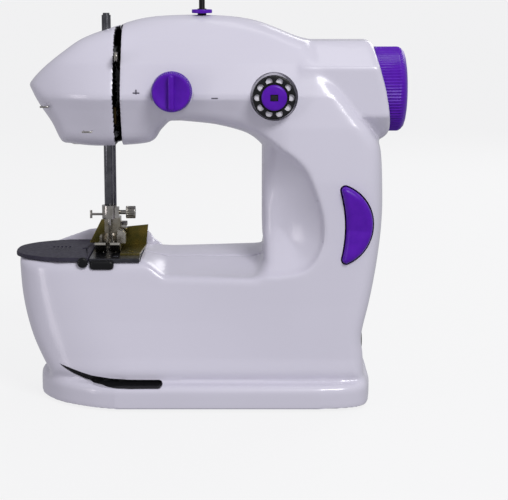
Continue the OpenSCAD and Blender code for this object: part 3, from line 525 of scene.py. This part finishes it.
class Grid:
    """A box of evenly spaced points, in millimetres, that fields are computed on."""

    def __init__(self, low, high, step):
        self.step = step
        self.axes = [np.arange(a - 2 * step, b + 3 * step, step) for a, b in zip(low, high)]
        self.origin = np.array([axis[0] for axis in self.axes])
        self.x = self.axes[0][:, None, None]
        self.y = self.axes[1][None, :, None]
        self.z = self.axes[2][None, None, :]
        self.shape = tuple(len(axis) for axis in self.axes)

    def block(self, x, y, z, blend=0.0):
        """A box between limits, with its edges rounded."""
        parts = [np.maximum(a[0] - g, g - a[1]) for a, g in ((x, self.x), (y, self.y), (z, self.z))]
        if blend:
            return meet(meet(parts[0], parts[1], blend), parts[2], blend)
        return np.maximum(np.maximum(parts[0], parts[1]), parts[2])

    def rod(self, axis, span, centre, radius, blend=0.0):
        """A cylinder along an axis (0, 1 or 2); centre is its place in the other two."""
        g = (self.x, self.y, self.z)
        others = [n for n in range(3) if n != axis]
        round_part = np.sqrt((g[others[0]] - centre[0]) ** 2 + (g[others[1]] - centre[1]) ** 2) - radius
        flat_part = np.maximum(span[0] - g[axis], g[axis] - span[1])
        return meet(round_part, flat_part, blend) if blend else np.maximum(round_part, flat_part)

    def front_outline(self, outline):
        return outline_distance(outline, self.axes[0], self.axes[2])[:, None, :]

    def side_outline(self, outline):
        return outline_distance(outline, self.axes[1], self.axes[2])[None, :, :]

    def plan_outline(self, outline):
        return outline_distance(outline, self.axes[0], self.axes[1])[:, :, None]

    def mesh(self, name, field, settle=3):
        """A smooth object in metres on the zero level of the field."""
        field = np.broadcast_to(field, self.shape).astype(np.float32)
        vertices, quads = surface_net(field, self.origin, self.step)
        for _ in range(settle):
            value, grad = sample(field, self.origin, self.step, vertices)
            square = np.maximum(np.sum(grad * grad, axis=1), 0.25)
            move = -grad * (value / square)[:, None]
            vertices += np.clip(move, -0.4 * self.step, 0.4 * self.step)
        return object_of(name, vertices, quads)


def object_of(name, vertices, quads):
    """An object from vertices in millimetres and faces of four corners each."""
    mesh = bpy.data.meshes.new(name)
    mesh.vertices.add(len(vertices))
    mesh.vertices.foreach_set("co", (vertices * MM).astype(np.float32).ravel())
    mesh.loops.add(quads.size)
    mesh.loops.foreach_set("vertex_index", quads.astype(np.int32).ravel())
    mesh.polygons.add(len(quads))
    mesh.polygons.foreach_set("loop_start", np.arange(0, quads.size, 4, dtype=np.int32))
    mesh.update(calc_edges=True)
    mesh.validate()
    mesh.polygons.foreach_set("use_smooth", np.ones(len(mesh.polygons), dtype=bool))
    made = bpy.data.objects.new(name, mesh)
    bpy.context.scene.collection.objects.link(made)
    return made


# ---------------------------------------------------------------- casing shape, in millimetres

WALL = 2.2
SKIRT_TOP = 12.5
SKIRT_BOTTOM = 1.2
BED_Z = 71.6
COLUMN_X = 26.0
SPLIT_X = -44.0
SLOT_X = (-45.4, -42.3)
SHAFT = (-3.0, 152.7)

ARM_TOP = [(48, 176.5), (40, 179.4), (34, 182.0), (24, 185.8), (11, 188.9), (-3, 190.0), (-17, 189.8),
           (-30, 188.2), (-46, 183.3), (-61, 178.0), (-71, 171.5), (-81, 163.7), (-90.3, 154.9)]
ARM_UNDER = [(-88.6, 152.4), (-83, 144.2), (-77.5, 136.5), (-73, 127.6), (-68, 126.4), (-54, 125.5),
             (-34, 126.6), (-27, 128.6), (-23.5, 133.5), (-19, 138.3)]
ARM_INNER = [(-13.4, 138.4), (3, 136.6), (15, 133.4), (21, 130.4), (COLUMN_X, 126.0)]
COLUMN_OUT = [(76, 12.5), (75.4, 24), (74.7, 35), (78.8, 51.6), (83.4, 72.2), (86.0, 88), (86.5, 102),
              (84.6, 124), (79, 134), (71.5, 142.5), (59, 159.5), (52, 170), (48, 176.5)]
FREE_ARM_END = [(-33, BED_Z), (-96.6, BED_Z)]
FREE_ARM_NOSE = [(-97.2, 66.5), (-95.4, 53.3), (-91.9, 40.4), (-87.1, 28.2), (-79.5, 14.6), (-78.0, 12.5)]
BAND_EDGE = [(14, 140.5), (26, 132.5), (35.5, 126), (42.8, 120.8), (48.3, 114), (52.6, 103.5), (55.4, 94),
             (56.2, 85), (54.8, 77.5), (51, 70.5), (45.5, 66.4), (37, 64.6), (26, 64), (0, 63.6),
             (-24, 64.2), (-34, 68)]
NOSE_TAPER = [(-91, 4.5), (-88, 9), (-84, 13.6), (-72, 22.5), (-60, 28.4), (-50, 31.0), (-42, 31.2),
              (-30, 31.2)]
HULL_PLAN = [(-97.3, -1.5), (-94.5, -14), (-86, -24), (-72, -33), (-55, -41)]
REAR_PLAN = [(64, -43.5), (75, -39.5), (82, -32), (86.5, -20), (88.5, -5)]
SKIRT_PLAN_LEFT = [(-86, -1.5), (-83, -18), (-73, -33), (-58, -43), (-45, -47.5)]
SKIRT_PLAN_RIGHT = [(54, -47.5), (68, -45), (76.5, -38), (79.4, -18)]
HOUSING_SIDE = [(83, 128), (87.9, 134), (86.3, 150.5), (83.2, 162.6), (80, 174), (77.5, 177.2)]
HOUSING_SECTION = [(-10, 177.2), (-15.5, 173.3), (-26.2, 164.5), (-26.2, 141), (-15, 128), (18, 128),
                   (27, 141), (27, 164.5), (15.5, 173.3), (10, 177.2)]
DISH_X = (77.2, 79.4)
DISH_R = 21.35
FENCE = [(-81.5, 71), (-63.5, 77.4), (-48.5, 79), (-34, 78), (-30, 72.5), (-26, 69.5), (-26, 60),
         (-81.5, 60)]
FENCE_Y = 29.2
FENCE_HALF = 1.7
# The arm starts above HEAD_Z; inside the raised band the column's face is scooped out
HEAD_Z = 100.0
ARM_PLAN_Y = 46
BAND_WIDTH = 24.0
SCOOP_DEPTH = 13.0
BAND_STEP = 1.7

# Half depth of the body at heights: free arm, column, and the arm over the throat
DEPTH_HULL = [(12.5, 42.5), (24, 38), (42, 33), (58, 29.5), (71.6, 27), (80, 26)]
DEPTH_COLUMN = [(12.5, 42.5), (24, 39.5), (50, 37.5), (80, 36), (110, 35.5), (136, 33.5), (151, 30.8),
                (166, 24.5), (180, 16), (187.4, 9), (190.6, 3)]
DEPTH_ARM = [(124, 19.5), (136, 24.6), (144, 28.3), (149.6, 31.2), (152, 30.9), (166, 24.8), (177, 17.4),
             (182, 13), (187, 8.0), (190.6, 3)]


def depth_at(table, z):
    heights, depths = zip(*table)
    return np.interp(z, heights, depths)


def body_outline():
    """Arm, column and free arm seen from the front, as one closed line."""
    free_arm_top = [(COLUMN_X, 70.5), (-20, 70.5)]
    return (curve(ARM_TOP) + curve(ARM_UNDER) + curve(ARM_INNER) + free_arm_top + FREE_ARM_END
            + curve(FREE_ARM_NOSE) + curve(COLUMN_OUT)[:-1])


def front_depth(grid):
    """Half depth of the front face over X and Z, and how deep the scoop inside the raised band is."""
    x, z = np.meshgrid(grid.axes[0], grid.axes[2], indexing="ij")
    column = depth_at(DEPTH_COLUMN, z)
    hull = depth_at(DEPTH_HULL, z)
    taper = depth_at(curve(NOSE_TAPER), x) / NOSE_TAPER[-1][1]
    arm = depth_at(DEPTH_ARM, z) * taper
    to_column = smooth_step(-30.0, 46.0, x)
    low = hull * (1 - to_column) + column * to_column
    high = arm * (1 - smooth_step(8.0, 40.0, x)) + column * smooth_step(8.0, 40.0, x)
    depth = low + (high - low) * smooth_step(98.0, 128.0, z)
    inside_band = -line_distance(curve(BAND_EDGE), grid.axes[0], grid.axes[2])
    across = np.clip(inside_band / BAND_WIDTH, 0.0, 1.0)
    scoop = SCOOP_DEPTH * (1 - (1 - across) ** 1.8) + BAND_STEP * smooth_step(-1.2, 2.6, inside_band)
    faded = smooth_step(6.0, 25.0, x) * (1 - smooth_step(126.0, 140.0, z))
    return depth, scoop * faded


def steepness(grid, depth):
    """Length of the slope of a depth map, to turn a height difference into a distance."""
    slopes = np.gradient(depth, grid.step)
    return np.sqrt(1.0 + np.clip(slopes[0] ** 2 + slopes[1] ** 2, 0.0, 4.0))[:, None, :]


def body_field(grid):
    """Signed distance of the whole body, without its openings."""
    x, y, z = grid.x, grid.y, grid.z
    depth, scoop = front_depth(grid)
    front = (-y - (depth - scoop)[:, None, :]) / steepness(grid, depth - scoop)
    back = (y - depth[:, None, :]) / steepness(grid, depth)
    rear_plan = curve(REAR_PLAN)
    arm_front = [(-110, -ARM_PLAN_Y), (-20, -ARM_PLAN_Y)]
    arm_plan = grid.plan_outline(both_sides_plan(arm_front + rear_plan))
    hull_front = curve(HULL_PLAN) + [(-40, -ARM_PLAN_Y)]
    hull_plan = grid.plan_outline(both_sides_plan(hull_front + rear_plan))
    body = meet(meet(front, back, 2.5), np.where(z > HEAD_Z, arm_plan, hull_plan), 8.0)
    body = meet(body, grid.front_outline(body_outline()), 7.0)
    # The free arm's top falls towards the operator, right of the needle plate
    fall = 8.6 * smooth_step(-34.0, -20.0, x) * smooth_step(20.0, -32.0, y)
    bed = join(z - (BED_Z - fall), COLUMN_X - x - 7.0 * smooth_step(76.0, 94.0, z), 7.0)
    body = np.where(z > HEAD_Z, body, meet(body, bed, 3.5))
    fence = meet(grid.front_outline(FENCE), np.abs(y - FENCE_Y) - FENCE_HALF, 1.6)
    body = join(body, fence, 3.0)
    housing = meet(grid.front_outline(curve(HOUSING_SIDE) + [(44, 177.2), (44, 128)]),
                   grid.side_outline(HOUSING_SECTION), 2.5)
    body = join(body, housing, 1.6)
    skirt_plan = grid.plan_outline(both_sides_plan(curve(SKIRT_PLAN_LEFT) + curve(SKIRT_PLAN_RIGHT)))
    skirt = np.maximum(meet(skirt_plan, z - SKIRT_TOP, 4.0), SKIRT_BOTTOM - z)
    body = np.maximum(join(body, skirt, 3.0), SKIRT_BOTTOM - z)
    floor_opening = np.maximum(skirt_plan + WALL + 0.1, z - 3.7)
    return body, floor_opening


# ---------------------------------------------------------------- cutters for crisp openings

def round_point(axis, along, centre, radius, angle):
    """A point in metres, given in millimetres by its place round a line along axis 0, 1 or 2."""
    others = [n for n in range(3) if n != axis]
    point = [0.0, 0.0, 0.0]
    point[axis] = along * MM
    point[others[0]] = (centre[0] + radius * math.cos(angle)) * MM
    point[others[1]] = (centre[1] + radius * math.sin(angle)) * MM
    return point


def skin(mesh, rings):
    """Faces from each ring of vertices to the next, with a cap at both ends."""
    for low, high in zip(rings, rings[1:]):
        for k in range(len(low)):
            n = (k + 1) % len(low)
            mesh.faces.new((low[k], low[n], high[n], high[k]))
    mesh.faces.new(rings[0][::-1])
    mesh.faces.new(rings[-1])


def mesh_object(name, mesh):
    bmesh.ops.recalc_face_normals(mesh, faces=mesh.faces)
    data = bpy.data.meshes.new(name)
    mesh.to_mesh(data)
    mesh.free()
    made = bpy.data.objects.new(name, data)
    bpy.context.scene.collection.objects.link(made)
    return made


def cylinder_cutter(axis, span, centre, radius, sides=64):
    """A cylinder in millimetres along axis 0, 1 or 2."""
    mesh = bmesh.new()
    angles = [2 * math.pi * k / sides for k in range(sides)]
    skin(mesh, [[mesh.verts.new(round_point(axis, along, centre, radius, angle)) for angle in angles]
                for along in span])
    return mesh_object("cutter", mesh)


def block_cutter(x, y, z):
    mesh = bmesh.new()
    bmesh.ops.create_cube(mesh, size=1.0)
    for vertex in mesh.verts:
        vertex.co = Vector([(a[0] + (c + 0.5) * (a[1] - a[0])) * MM
                            for c, a in zip(vertex.co, (x, y, z))])
    return mesh_object("cutter", mesh)


def outline_cutter(outline, y):
    """A prism of an outline in X and Z, in millimetres, over a span of Y."""
    mesh = bmesh.new()
    skin(mesh, [[mesh.verts.new((px * MM, level * MM, pz * MM)) for px, pz in outline] for level in y])
    return mesh_object("cutter", mesh)


def apply_modifiers(target):
    """Bakes an object's modifiers into its own mesh."""
    depsgraph = bpy.context.evaluated_depsgraph_get()
    baked = bpy.data.meshes.new_from_object(target.evaluated_get(depsgraph))
    target.modifiers.clear()
    target.data = baked


def cut(target, cutters):
    """Takes the cutters out of the target."""
    for cutter in cutters:
        boolean = target.modifiers.new("cut", "BOOLEAN")
        boolean.object = cutter
        boolean.operation = "DIFFERENCE"
        boolean.solver = "MANIFOLD"
    apply_modifiers(target)


def discard(objects):
    for old in objects:
        bpy.data.objects.remove(old)


def soften(target, degrees=32.0):
    """Smooth shading that keeps edges sharper than an angle."""
    target.data.shade_smooth()
    target.data.set_sharp_from_angle(angle=math.radians(degrees))


# ---------------------------------------------------------------- casing pieces

DIAL = (-17.2, 153.3)
SPINDLE = (31.6, 150.9)
NEEDLE = (-50.5, -3.0)
PRESSER = (-49.5, 6.0)
SCREWS = [(-20, 174), (52, 171), (79, 92), (62, 42), (-28, 36), (-80, 36)]
ROCKER_MID = (59.3, 89.5)
ROCKER_R = 20.0
ROCKER_HOLLOW = (1.4, 88.5, 65.0)
ROCKER_VALLEY_Z = 87.0
ROCKER_BLUNT = 1.9
KNOB_LEAN = math.radians(90.0)
JACK_Y = (-13.0, 3.0)
JACK_Z = 28.0
JACK_HALF = 6.2
PLATE_END_X = -33.6
BED_SEAT_Z = 69.7
DIAL_R = 9.8
BOBBIN_R = 10.25
POCKET_R = 12.85
SPOOL_PIN = (-3.6, 0)
LIFTER_PIN = (-53, 140)
LAMP = (-65, 2)
BOSS_R = 4.2
SCREW_WELL_R = 3.1
SEAM = 0.08
SHADOW_SLOT_BACK = -14.0


def rocker_outline(grow, steps=48):
    """Crescent seen from the front: an arc bowed to the right, closed by a hollow arc on the left."""
    cx, cz = ROCKER_MID
    hx, hz, hr = ROCKER_HOLLOW
    r, h = ROCKER_R + grow, hr - grow
    apart = math.hypot(hx - cx, hz - cz)
    along = (r * r - h * h + apart * apart) / (2 * apart)
    lean = math.atan2(hz - cz, hx - cx)
    half = math.acos(along / r)
    sweep = np.linspace(lean + half, lean - half + 2 * math.pi, steps)
    bow = [(cx + r * math.cos(a), cz + r * math.sin(a)) for a in sweep]
    first, last = bow[-1], bow[0]
    a0 = math.atan2(first[1] - hz, first[0] - hx)
    a1 = math.atan2(last[1] - hz, last[0] - hx)
    back_sweep = np.linspace(a0, a1, steps // 2)[1:-1]
    hollow = [(hx + h * math.cos(a), hz + h * math.sin(a)) for a in back_sweep]
    return bow + hollow


def swell(outline, distance):
    """The outline moved outwards, with its sharp corners rounded."""
    made = []
    count = len(outline)
    area = sum(a[0] * b[1] - b[0] * a[1] for a, b in zip([outline[-1]] + outline, outline))
    sign = 1.0 if area > 0 else -1.0
    for k in range(count):
        before, here, after = outline[k - 1], outline[k], outline[(k + 1) % count]
        a0 = math.atan2(-sign * (here[0] - before[0]), sign * (here[1] - before[1]))
        a1 = math.atan2(-sign * (after[0] - here[0]), sign * (after[1] - here[1]))
        turn = (a1 - a0 + math.pi) % (2 * math.pi) - math.pi
        steps = 9 if abs(turn) > 0.5 else 1
        for n in range(steps):
            share = n / (steps - 1) if steps > 1 else 0.5
            angle = a0 + turn * share
            made.append((here[0] + distance * math.cos(angle), here[1] + distance * math.sin(angle)))
    return made


def paint_shade_inside(piece, body, grid, zone):
    """Blackens a shell's faces on its inside, and the slot's cut faces, where zone says so: painted shade
    for the dark inside of the head seen through the slot.
    """
    count = len(piece.data.polygons)
    centres = np.empty(count * 3, dtype=np.float32)
    piece.data.polygons.foreach_get("center", centres)
    centres = centres.reshape(-1, 3) / MM
    value, _ = sample(body, grid.origin, grid.step, centres)
    x, y = centres[:, 0], centres[:, 1]
    cut_face = (x > SLOT_X[0] - 0.6) & (x < SLOT_X[1] + 0.6) & (y < 2.8)
    shade_mask = zone(centres) & ((value < 0.6 - WALL) | ((value < -0.35) & cut_face))
    piece.data.polygons.foreach_set("material_index", shade_mask.astype(np.int32))


def casing_openings():
    """Cutters of the openings that the front and rear halves share."""
    return [
        cylinder_cutter(1, (-50, -30.6), DIAL, DIAL_R + 0.7),
        cylinder_cutter(1, (-50, -20), DIAL, 2.3),
        cylinder_cutter(1, (-50, -25.6), SPINDLE, BOBBIN_R + 1.2),
        cylinder_cutter(1, (-50, -18), SPINDLE, 2.6),
        outline_cutter(swell(rocker_outline(-ROCKER_BLUNT), ROCKER_BLUNT + 0.7), (-50, -28)),
        cylinder_cutter(2, (180, 199), SPOOL_PIN, 2.6),
        cylinder_cutter(2, (189.6, 199), SPOOL_PIN, 5.0),
        cylinder_cutter(0, (70, 100), SHAFT, 6.0),
        cylinder_cutter(0, (DISH_X[1], 100), SHAFT, DISH_R, sides=128),
        block_cutter((-88, -35), (-17, 17), (60, 80)),
        block_cutter((-105, PLATE_END_X), (-60, 27.4), (BED_SEAT_Z, 90)),
        block_cutter((70, 90), (JACK_Y[0] - JACK_HALF, JACK_Y[1] + JACK_HALF),
                     (JACK_Z - JACK_HALF, JACK_Z + JACK_HALF)),
    ]


SLOT_OUTLINE = [(-73.5, 20.4), (-70, 19.4), (-65, 17.9), (-61, 16.7), (-57, 15.7), (-48, 14.6),
                (-38.8, 14.2), (-24.2, 14.1), (-23, 13.7), (-22.3, 12.6), (-23, 11.5), (-24.2, 11.1),
                (-38, 11.0), (-52, 11.5), (-56, 12.1), (-60, 13.2), (-67, 16.2), (-71.5, 18.8)]


def shadow_slot(grid):
    """The dark slot between the free arm and the skirt, on the front of the base."""
    return np.maximum(grid.front_outline(SLOT_OUTLINE), grid.y - SHADOW_SLOT_BACK)


def make_slot_shade_strip(grid, body, slot_field):
    """Black strip set into the shadow slot: painted shade for the slot's dark depth."""
    shade_strip = np.maximum(np.maximum(slot_field - 0.5, body + 0.5), -(body + 3.4))
    strip = grid.mesh("shadow_slot_painted_shade", shade_strip)
    soften(strip, 50.0)
    place(strip, "machine_body", "black_plastic")


def make_casing():
    """Front half, rear half and face cover, as thin rounded shells."""
    step = 1.1
    grid = Grid((-98, -48.5, 0), (90, 48.5, 192), step)
    body, floor_opening = body_field(grid)
    slot_field = shadow_slot(grid)
    make_slot_shade_strip(grid, body, slot_field)
    shell = np.maximum(np.maximum(body, -(body + WALL)), -floor_opening)
    bosses = np.full(grid.shape, 1e3)
    for x, z in SCREWS:
        bosses = np.minimum(bosses, grid.rod(1, (-60, 60), (x, z), BOSS_R))
    pocket = grid.rod(1, (-34, -24), SPINDLE, POCKET_R)
    dish = grid.rod(0, (DISH_X[0], 92), SHAFT, DISH_R + WALL)
    inside = np.maximum(body, np.minimum(np.minimum(bosses, pocket), dish))
    shell = np.minimum(shell, inside)
    head = np.maximum(grid.x - SPLIT_X, 120.0 - grid.z)
    slot = grid.block(SLOT_X, (-60, 2), (120, 210))
    open_shell = np.maximum(shell, -slot)
    front = np.maximum(np.maximum(open_shell, grid.y + SEAM), -head + SEAM)
    rear = np.maximum(np.maximum(open_shell, SEAM - grid.y), -head + SEAM)
    plain_shell = np.maximum(np.maximum(body, -(body + WALL)), -slot)
    cover = np.maximum(plain_shell, head)
    body = body.astype(np.float32)

    def near_slot(p):
        return (p[:, 0] < -20.0) & (p[:, 2] > 118.0)

    pieces = {}
    for name, field in (("front_casing", front), ("rear_casing", rear), ("face_cover", cover)):
        piece = grid.mesh(name + "_moulded", field)
        piece.data.materials.append(MATERIALS["casing_white"])
        # Second slot is black: painted shade for the inside of the head where it shows through the slot.
        piece.data.materials.append(MATERIALS["black_plastic"])
        paint_shade_inside(piece, body, grid, near_slot)
        pieces[name] = piece
    shared = casing_openings()
    slot_cutter = outline_cutter(SLOT_OUTLINE, (-60, SHADOW_SLOT_BACK))
    cut(pieces["front_casing"], shared + [slot_cutter])
    holes = [cylinder_cutter(1, (14, 60), screw, SCREW_WELL_R) for screw in SCREWS]
    cut(pieces["rear_casing"], shared + holes)
    head_holes = [
        cylinder_cutter(2, (170, 199), NEEDLE, 2.65),
        cylinder_cutter(2, (115, 135), NEEDLE, 2.65),
        cylinder_cutter(2, (115, 135), PRESSER, 2.4),
        cylinder_cutter(1, (0, 50), LIFTER_PIN, 2.9),
        cylinder_cutter(2, (115, 135), LAMP, 4.2),
    ]
    cut(pieces["face_cover"], head_holes)
    discard(shared + holes + head_holes + [slot_cutter])
    for name, piece in pieces.items():
        soften(piece)
        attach(piece, "machine_body")
        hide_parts(name)


# ---------------------------------------------------------------- turned and moulded pieces, in millimetres

def lathe(name, axis, centre, profile, teeth=48, steps=2, depth=0.0, toothed=(0.0, 0.0)):
    """A closed solid turned about an axis; between the toothed limits its rim carries fine ribs."""
    mesh = bmesh.new()
    count = teeth * steps
    rings = []
    for along, radius in profile:
        rib = depth if toothed[0] <= along <= toothed[1] else 0.0
        ring = []
        for k in range(count):
            r = radius - rib * (0.5 - 0.5 * math.cos(2 * math.pi * k / steps))
            ring.append(mesh.verts.new(round_point(axis, along, centre, r, 2 * math.pi * k / count)))
        rings.append(ring)
    skin(mesh, rings)
    made = mesh_object(name, mesh)
    soften(made)
    return made


def coil(name, axis, centre, span, radius, wire, turns, around=28, sides=10):
    """A round-wire spring along an axis, with both ends cut square."""
    mesh = bmesh.new()
    rings = []
    total = int(turns * around)
    for k in range(total + 1):
        angle = 2 * math.pi * k / around
        along = span[0] + wire + (span[1] - span[0] - 2 * wire) * k / total
        ring = []
        for m in range(sides):
            turn = 2 * math.pi * m / sides
            r = radius + wire * math.cos(turn)
            ring.append(mesh.verts.new(round_point(axis, along + wire * math.sin(turn), centre, r, angle)))
        rings.append(ring)
    skin(mesh, rings)
    made = mesh_object(name, mesh)
    soften(made)
    return made


def prism(name, outline, y, rounding, segments=3):
    """A block of an outline in X and Z over a span of Y, with rounded edges."""
    made = outline_cutter(outline, y)
    made.name = name
    bevel = made.modifiers.new("edges", "BEVEL")
    bevel.width = rounding * MM
    bevel.segments = segments
    bevel.limit_method = "ANGLE"
    bevel.angle_limit = math.radians(40.0)
    apply_modifiers(made)
    soften(made)
    return made


def stadium(centre, length, width, lean, steps=10):
    """A long rounded outline at an angle."""
    cx, cz = centre
    half, r = (length - width) / 2, width / 2
    points = []
    for sign in (1, -1):
        for a in np.linspace(-math.pi / 2, math.pi / 2, steps):
            px = sign * (half + r * math.cos(a))
            pz = sign * r * math.sin(a)
            points.append((cx + px * math.cos(lean) - pz * math.sin(lean),
                           cz + px * math.sin(lean) + pz * math.cos(lean)))
    return points


def place(piece, body, slot, *nodes):
    """Finish, body and the CAD nodes that a piece stands for."""
    piece.data.materials.clear()
    piece.data.materials.append(MATERIALS[slot])
    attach(piece, body)
    if nodes:
        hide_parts(*nodes)


def limits(node, axis):
    """Lowest and highest place of a CAD node along an axis, in millimetres."""
    low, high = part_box(node)
    return low[axis] / MM, high[axis] / MM


WHEEL_RIBS = 84
KNOB_TEETH = 60
THREAD_R = 9.7
CORE_R = 5.4
HOLE_RING_R = 7.95
FLANGE = 0.88


def make_hand_wheel():
    x0, x1 = limits("hand_wheel", 0)
    r = DISH_R - 0.62
    face = [(1.0, 0.15), (2.1, 0.9), (3.3, 2.3), (4.0, 4.4), (4.55, 7.6), (4.8, 11.0), (4.98, 16.5)]
    profile = [(x0, r - 1.2), (x0 + 0.4, r - 0.4), (x0 + 1.1, r), (x0 + 1.2, r), (x1 - 4.95, r),
               (x1 - 4.9, r)]
    profile += [(x1 - 5.0 + rise, r - drop) for rise, drop in face]
    wheel = lathe("hand_wheel_ribbed", 0, SHAFT, profile, WHEEL_RIBS, 6, 0.42, (x0 + 1.15, x1 - 3.9))
    place(wheel, "drive_shaft", "purple_plastic", "hand_wheel")


def make_tension_knob():
    y0, y1 = limits("tension_knob", 1)
    r = 9.75
    profile = [(y1, r - 0.7), (y1 - 0.4, r - 0.2), (y1 - 0.9, r), (y1 - 1.0, r), (y0 + 3.3, r - 0.25),
               (y0 + 2.9, r - 0.45), (y0 + 2.5, r - 1.1), (y0 + 2.4, r - 1.9), (y0 + 2.7, r - 2.6),
               (y0 + 3.0, 3.0)]
    knob = lathe("tension_knob_toothed", 1, DIAL, profile, KNOB_TEETH, 6, 0.5, (y0 + 2.85, y1 - 0.95))
    place(knob, "dial", "purple_plastic", "tension_knob")
    bar = prism("tension_knob_grip", stadium(DIAL, 16.6, 2.8, KNOB_LEAN), (y0, y0 + 4.5), 0.7)
    place(bar, "dial", "purple_plastic")


def make_front_bobbin():
    """Two flanges with ten round holes on a core, and the turned stud that it spins on."""
    y0, y1 = limits("front_bobbin", 1)
    half = [(0.0, 9.9), (0.15, 10.15), (0.7, 10.15), (0.85, 9.9), (0.9, CORE_R)]
    profile = [(y0 + rise, r) for rise, r in half] + [(y1 - rise, r) for rise, r in half[::-1]]
    bobbin = lathe("front_bobbin_flanged", 1, SPINDLE, profile, 96, 1)
    holes = [cylinder_cutter(1, (y0 - 1, y1 + 1), SPINDLE, 3.05)]
    for k in range(10):
        angle = 2 * math.pi * (k + 0.5) / 10 + math.pi / 2
        spot = (SPINDLE[0] + HOLE_RING_R * math.cos(angle), SPINDLE[1] + HOLE_RING_R * math.sin(angle))
        for span in ((y0 - 1, y0 + FLANGE), (y1 - FLANGE, y1 + 1)):
            holes.append(cylinder_cutter(1, span, spot, 1.6, sides=32))
    cut(bobbin, holes)
    discard(holes)
    soften(bobbin)
    place(bobbin, "bobbin_front", "black_plastic", "front_bobbin")
    s0, s1 = limits("bobbin_spindle", 1)
    cap = y0 - 0.1
    stud = [(s0, 5.0), (s0 + 0.15, 5.6), (s0 + 0.5, 6.0), (cap - 0.2, 6.1), (cap, 5.9),
            (cap + 0.02, 2.85), (s1, 2.85)]
    spindle = lathe("bobbin_spindle_turned", 1, SPINDLE, stud, 96, 1)
    sx, sz = SPINDLE
    pocket = [block_cutter((sx - 1.9, sx + 1.9), (s0 - 1, s0 + 1.2), (sz - 1.6, sz + 1.6))]
    cut(spindle, pocket)
    discard(pocket)
    soften(spindle)
    place(spindle, "machine_body", "purple_plastic", "bobbin_spindle")
    # Black block at the bottom of the square pocket: painted shade that darkens the recess.
    pocket_shade = [(sx - 1.85, sz - 1.55), (sx + 1.85, sz - 1.55), (sx + 1.85, sz + 1.55), (sx - 1.85, sz + 1.55)]
    place(prism("bobbin_spindle_pocket_shade", pocket_shade, (s0 + 0.5, s0 + 1.4), 0.15), "machine_body", "black_plastic")


def make_front_thread():
    y0, y1 = limits("bobbin_thread", 1)
    turns = 12
    profile = [(y0 + 0.05, THREAD_R - 0.5)]
    for k in range(turns * 4 + 1):
        ripple = 0.12 * abs(math.sin(math.pi * k / 4))
        profile.append((y0 + 0.1 + (y1 - y0 - 0.2) * k / (turns * 4), THREAD_R - 0.15 + ripple))
    profile.append((y1 - 0.05, THREAD_R - 0.5))
    thread = lathe("front_thread_wound", 1, SPINDLE, profile, 48, 2)
    bore = [cylinder_cutter(1, (y0 - 1, y1 + 1), SPINDLE, CORE_R + 0.1)]
    cut(thread, bore)
    discard(bore)
    soften(thread, 70.0)
    place(thread, "bobbin_front", "thread_white", "bobbin_thread")


def make_rocker():
    """Crescent rocker with blunt round tips, two faces and a shallow valley between them."""
    y0, y1 = limits("rocker_switch", 1)
    grid = Grid((61, y0 - 1, 67), (82, y1 + 1, 112), 0.4)
    outline = grid.front_outline(rocker_outline(-ROCKER_BLUNT)) - ROCKER_BLUNT
    face = 1.9 * np.minimum(np.abs(grid.z - ROCKER_VALLEY_Z) / 15.0, 1.0)
    front = -(grid.y - (y0 + 1.95) + face)
    field = np.maximum(meet(outline, front, 3.2), grid.y - y1)
    rocker = grid.mesh("rocker_moulded", field)
    soften(rocker, 40.0)
    place(rocker, "rocker", "purple_plastic", "rocker_switch")


def make_plate_latch():
    """Black front tab of the needle plate, and the round thumb latch on the slide cover."""
    step = 0.35
    grid = Grid((-59, -31, 64), (-45, -24, 72), step)
    tab = grid.mesh("plate_front_tab", grid.block((-58.3, -46.5), (-29.3, -25.0), (66.2, 70.9), 1.8))
    place(tab, "machine_body", "black_plastic")
    low, _ = limits("slide_cover", 2)
    grid = Grid((-65, -31, 64), (-58, -24, 74), step)
    button = grid.rod(1, (-29.6, -27.1), (-61.6, low - 0.2), 2.7, 1.6)
    latch = grid.mesh("cover_thumb_latch", button)
    place(latch, "cover", "black_plastic")


def make_springs():
    y = limits("tension_spring", 1)
    low, high = limits("tension_spring", 0)
    radius = (high - low) / 2 - 0.45
    spring = coil("tension_spring_coil", 1, DIAL, y, radius, 0.4, 4.5)
    place(spring, "machine_body", "spring_steel", "tension_spring")
    z0, z1 = limits("presser_spring", 2)
    low, high = limits("presser_spring", 0)
    spring = coil("presser_spring_coil", 2, PRESSER, (z0, z1), (high - low) / 2 - 0.4, 0.4, 7.5)
    place(spring, "presser", "spring_steel", "presser_spring")
    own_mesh(spring)


# ---------------------------------------------------------------- finish of the CAD nodes

BEVEL = {"motor": 0.4, "battery_box": 0.3, "needle_plate": 0.2, "guard_plate": 0.15, "presser_foot": 0.25,
         "arm_frame": 0.4, "hook_frame": 0.4, "head_frame": 0.4, "lifter_lever": 0.5, "slide_cover": 0.4,
         "rubber_feet": 0.3, "spool_collar": 0.3, "main_pulley": 0.25, "timing_pulley": 0.12}


def dress_cad_nodes():
    """Material and softened edges for every CAD node that is shown."""
    slots = {part["node"]: part["material_slot"] for part in frame["record"]["subparts"]}
    for name, node in NODES.items():
        node.data.materials.clear()
        node.data.materials.append(MATERIALS[slots[name]])
        weld = node.modifiers.new("weld", "WELD")
        weld.merge_threshold = 0.00001
        bevel = node.modifiers.new("edges", "BEVEL")
        bevel.width = BEVEL.get(name, 0.12) * MM
        bevel.segments = 2
        bevel.limit_method = "ANGLE"
        bevel.angle_limit = math.radians(38.0)


# ---------------------------------------------------------------- build

MATERIALS = make_materials()
make_camera()
make_lights()
make_floor()
dress_cad_nodes()
make_casing()
make_hand_wheel()
make_tension_knob()
make_front_bobbin()
make_front_thread()
make_rocker()
make_plate_latch()
make_springs()
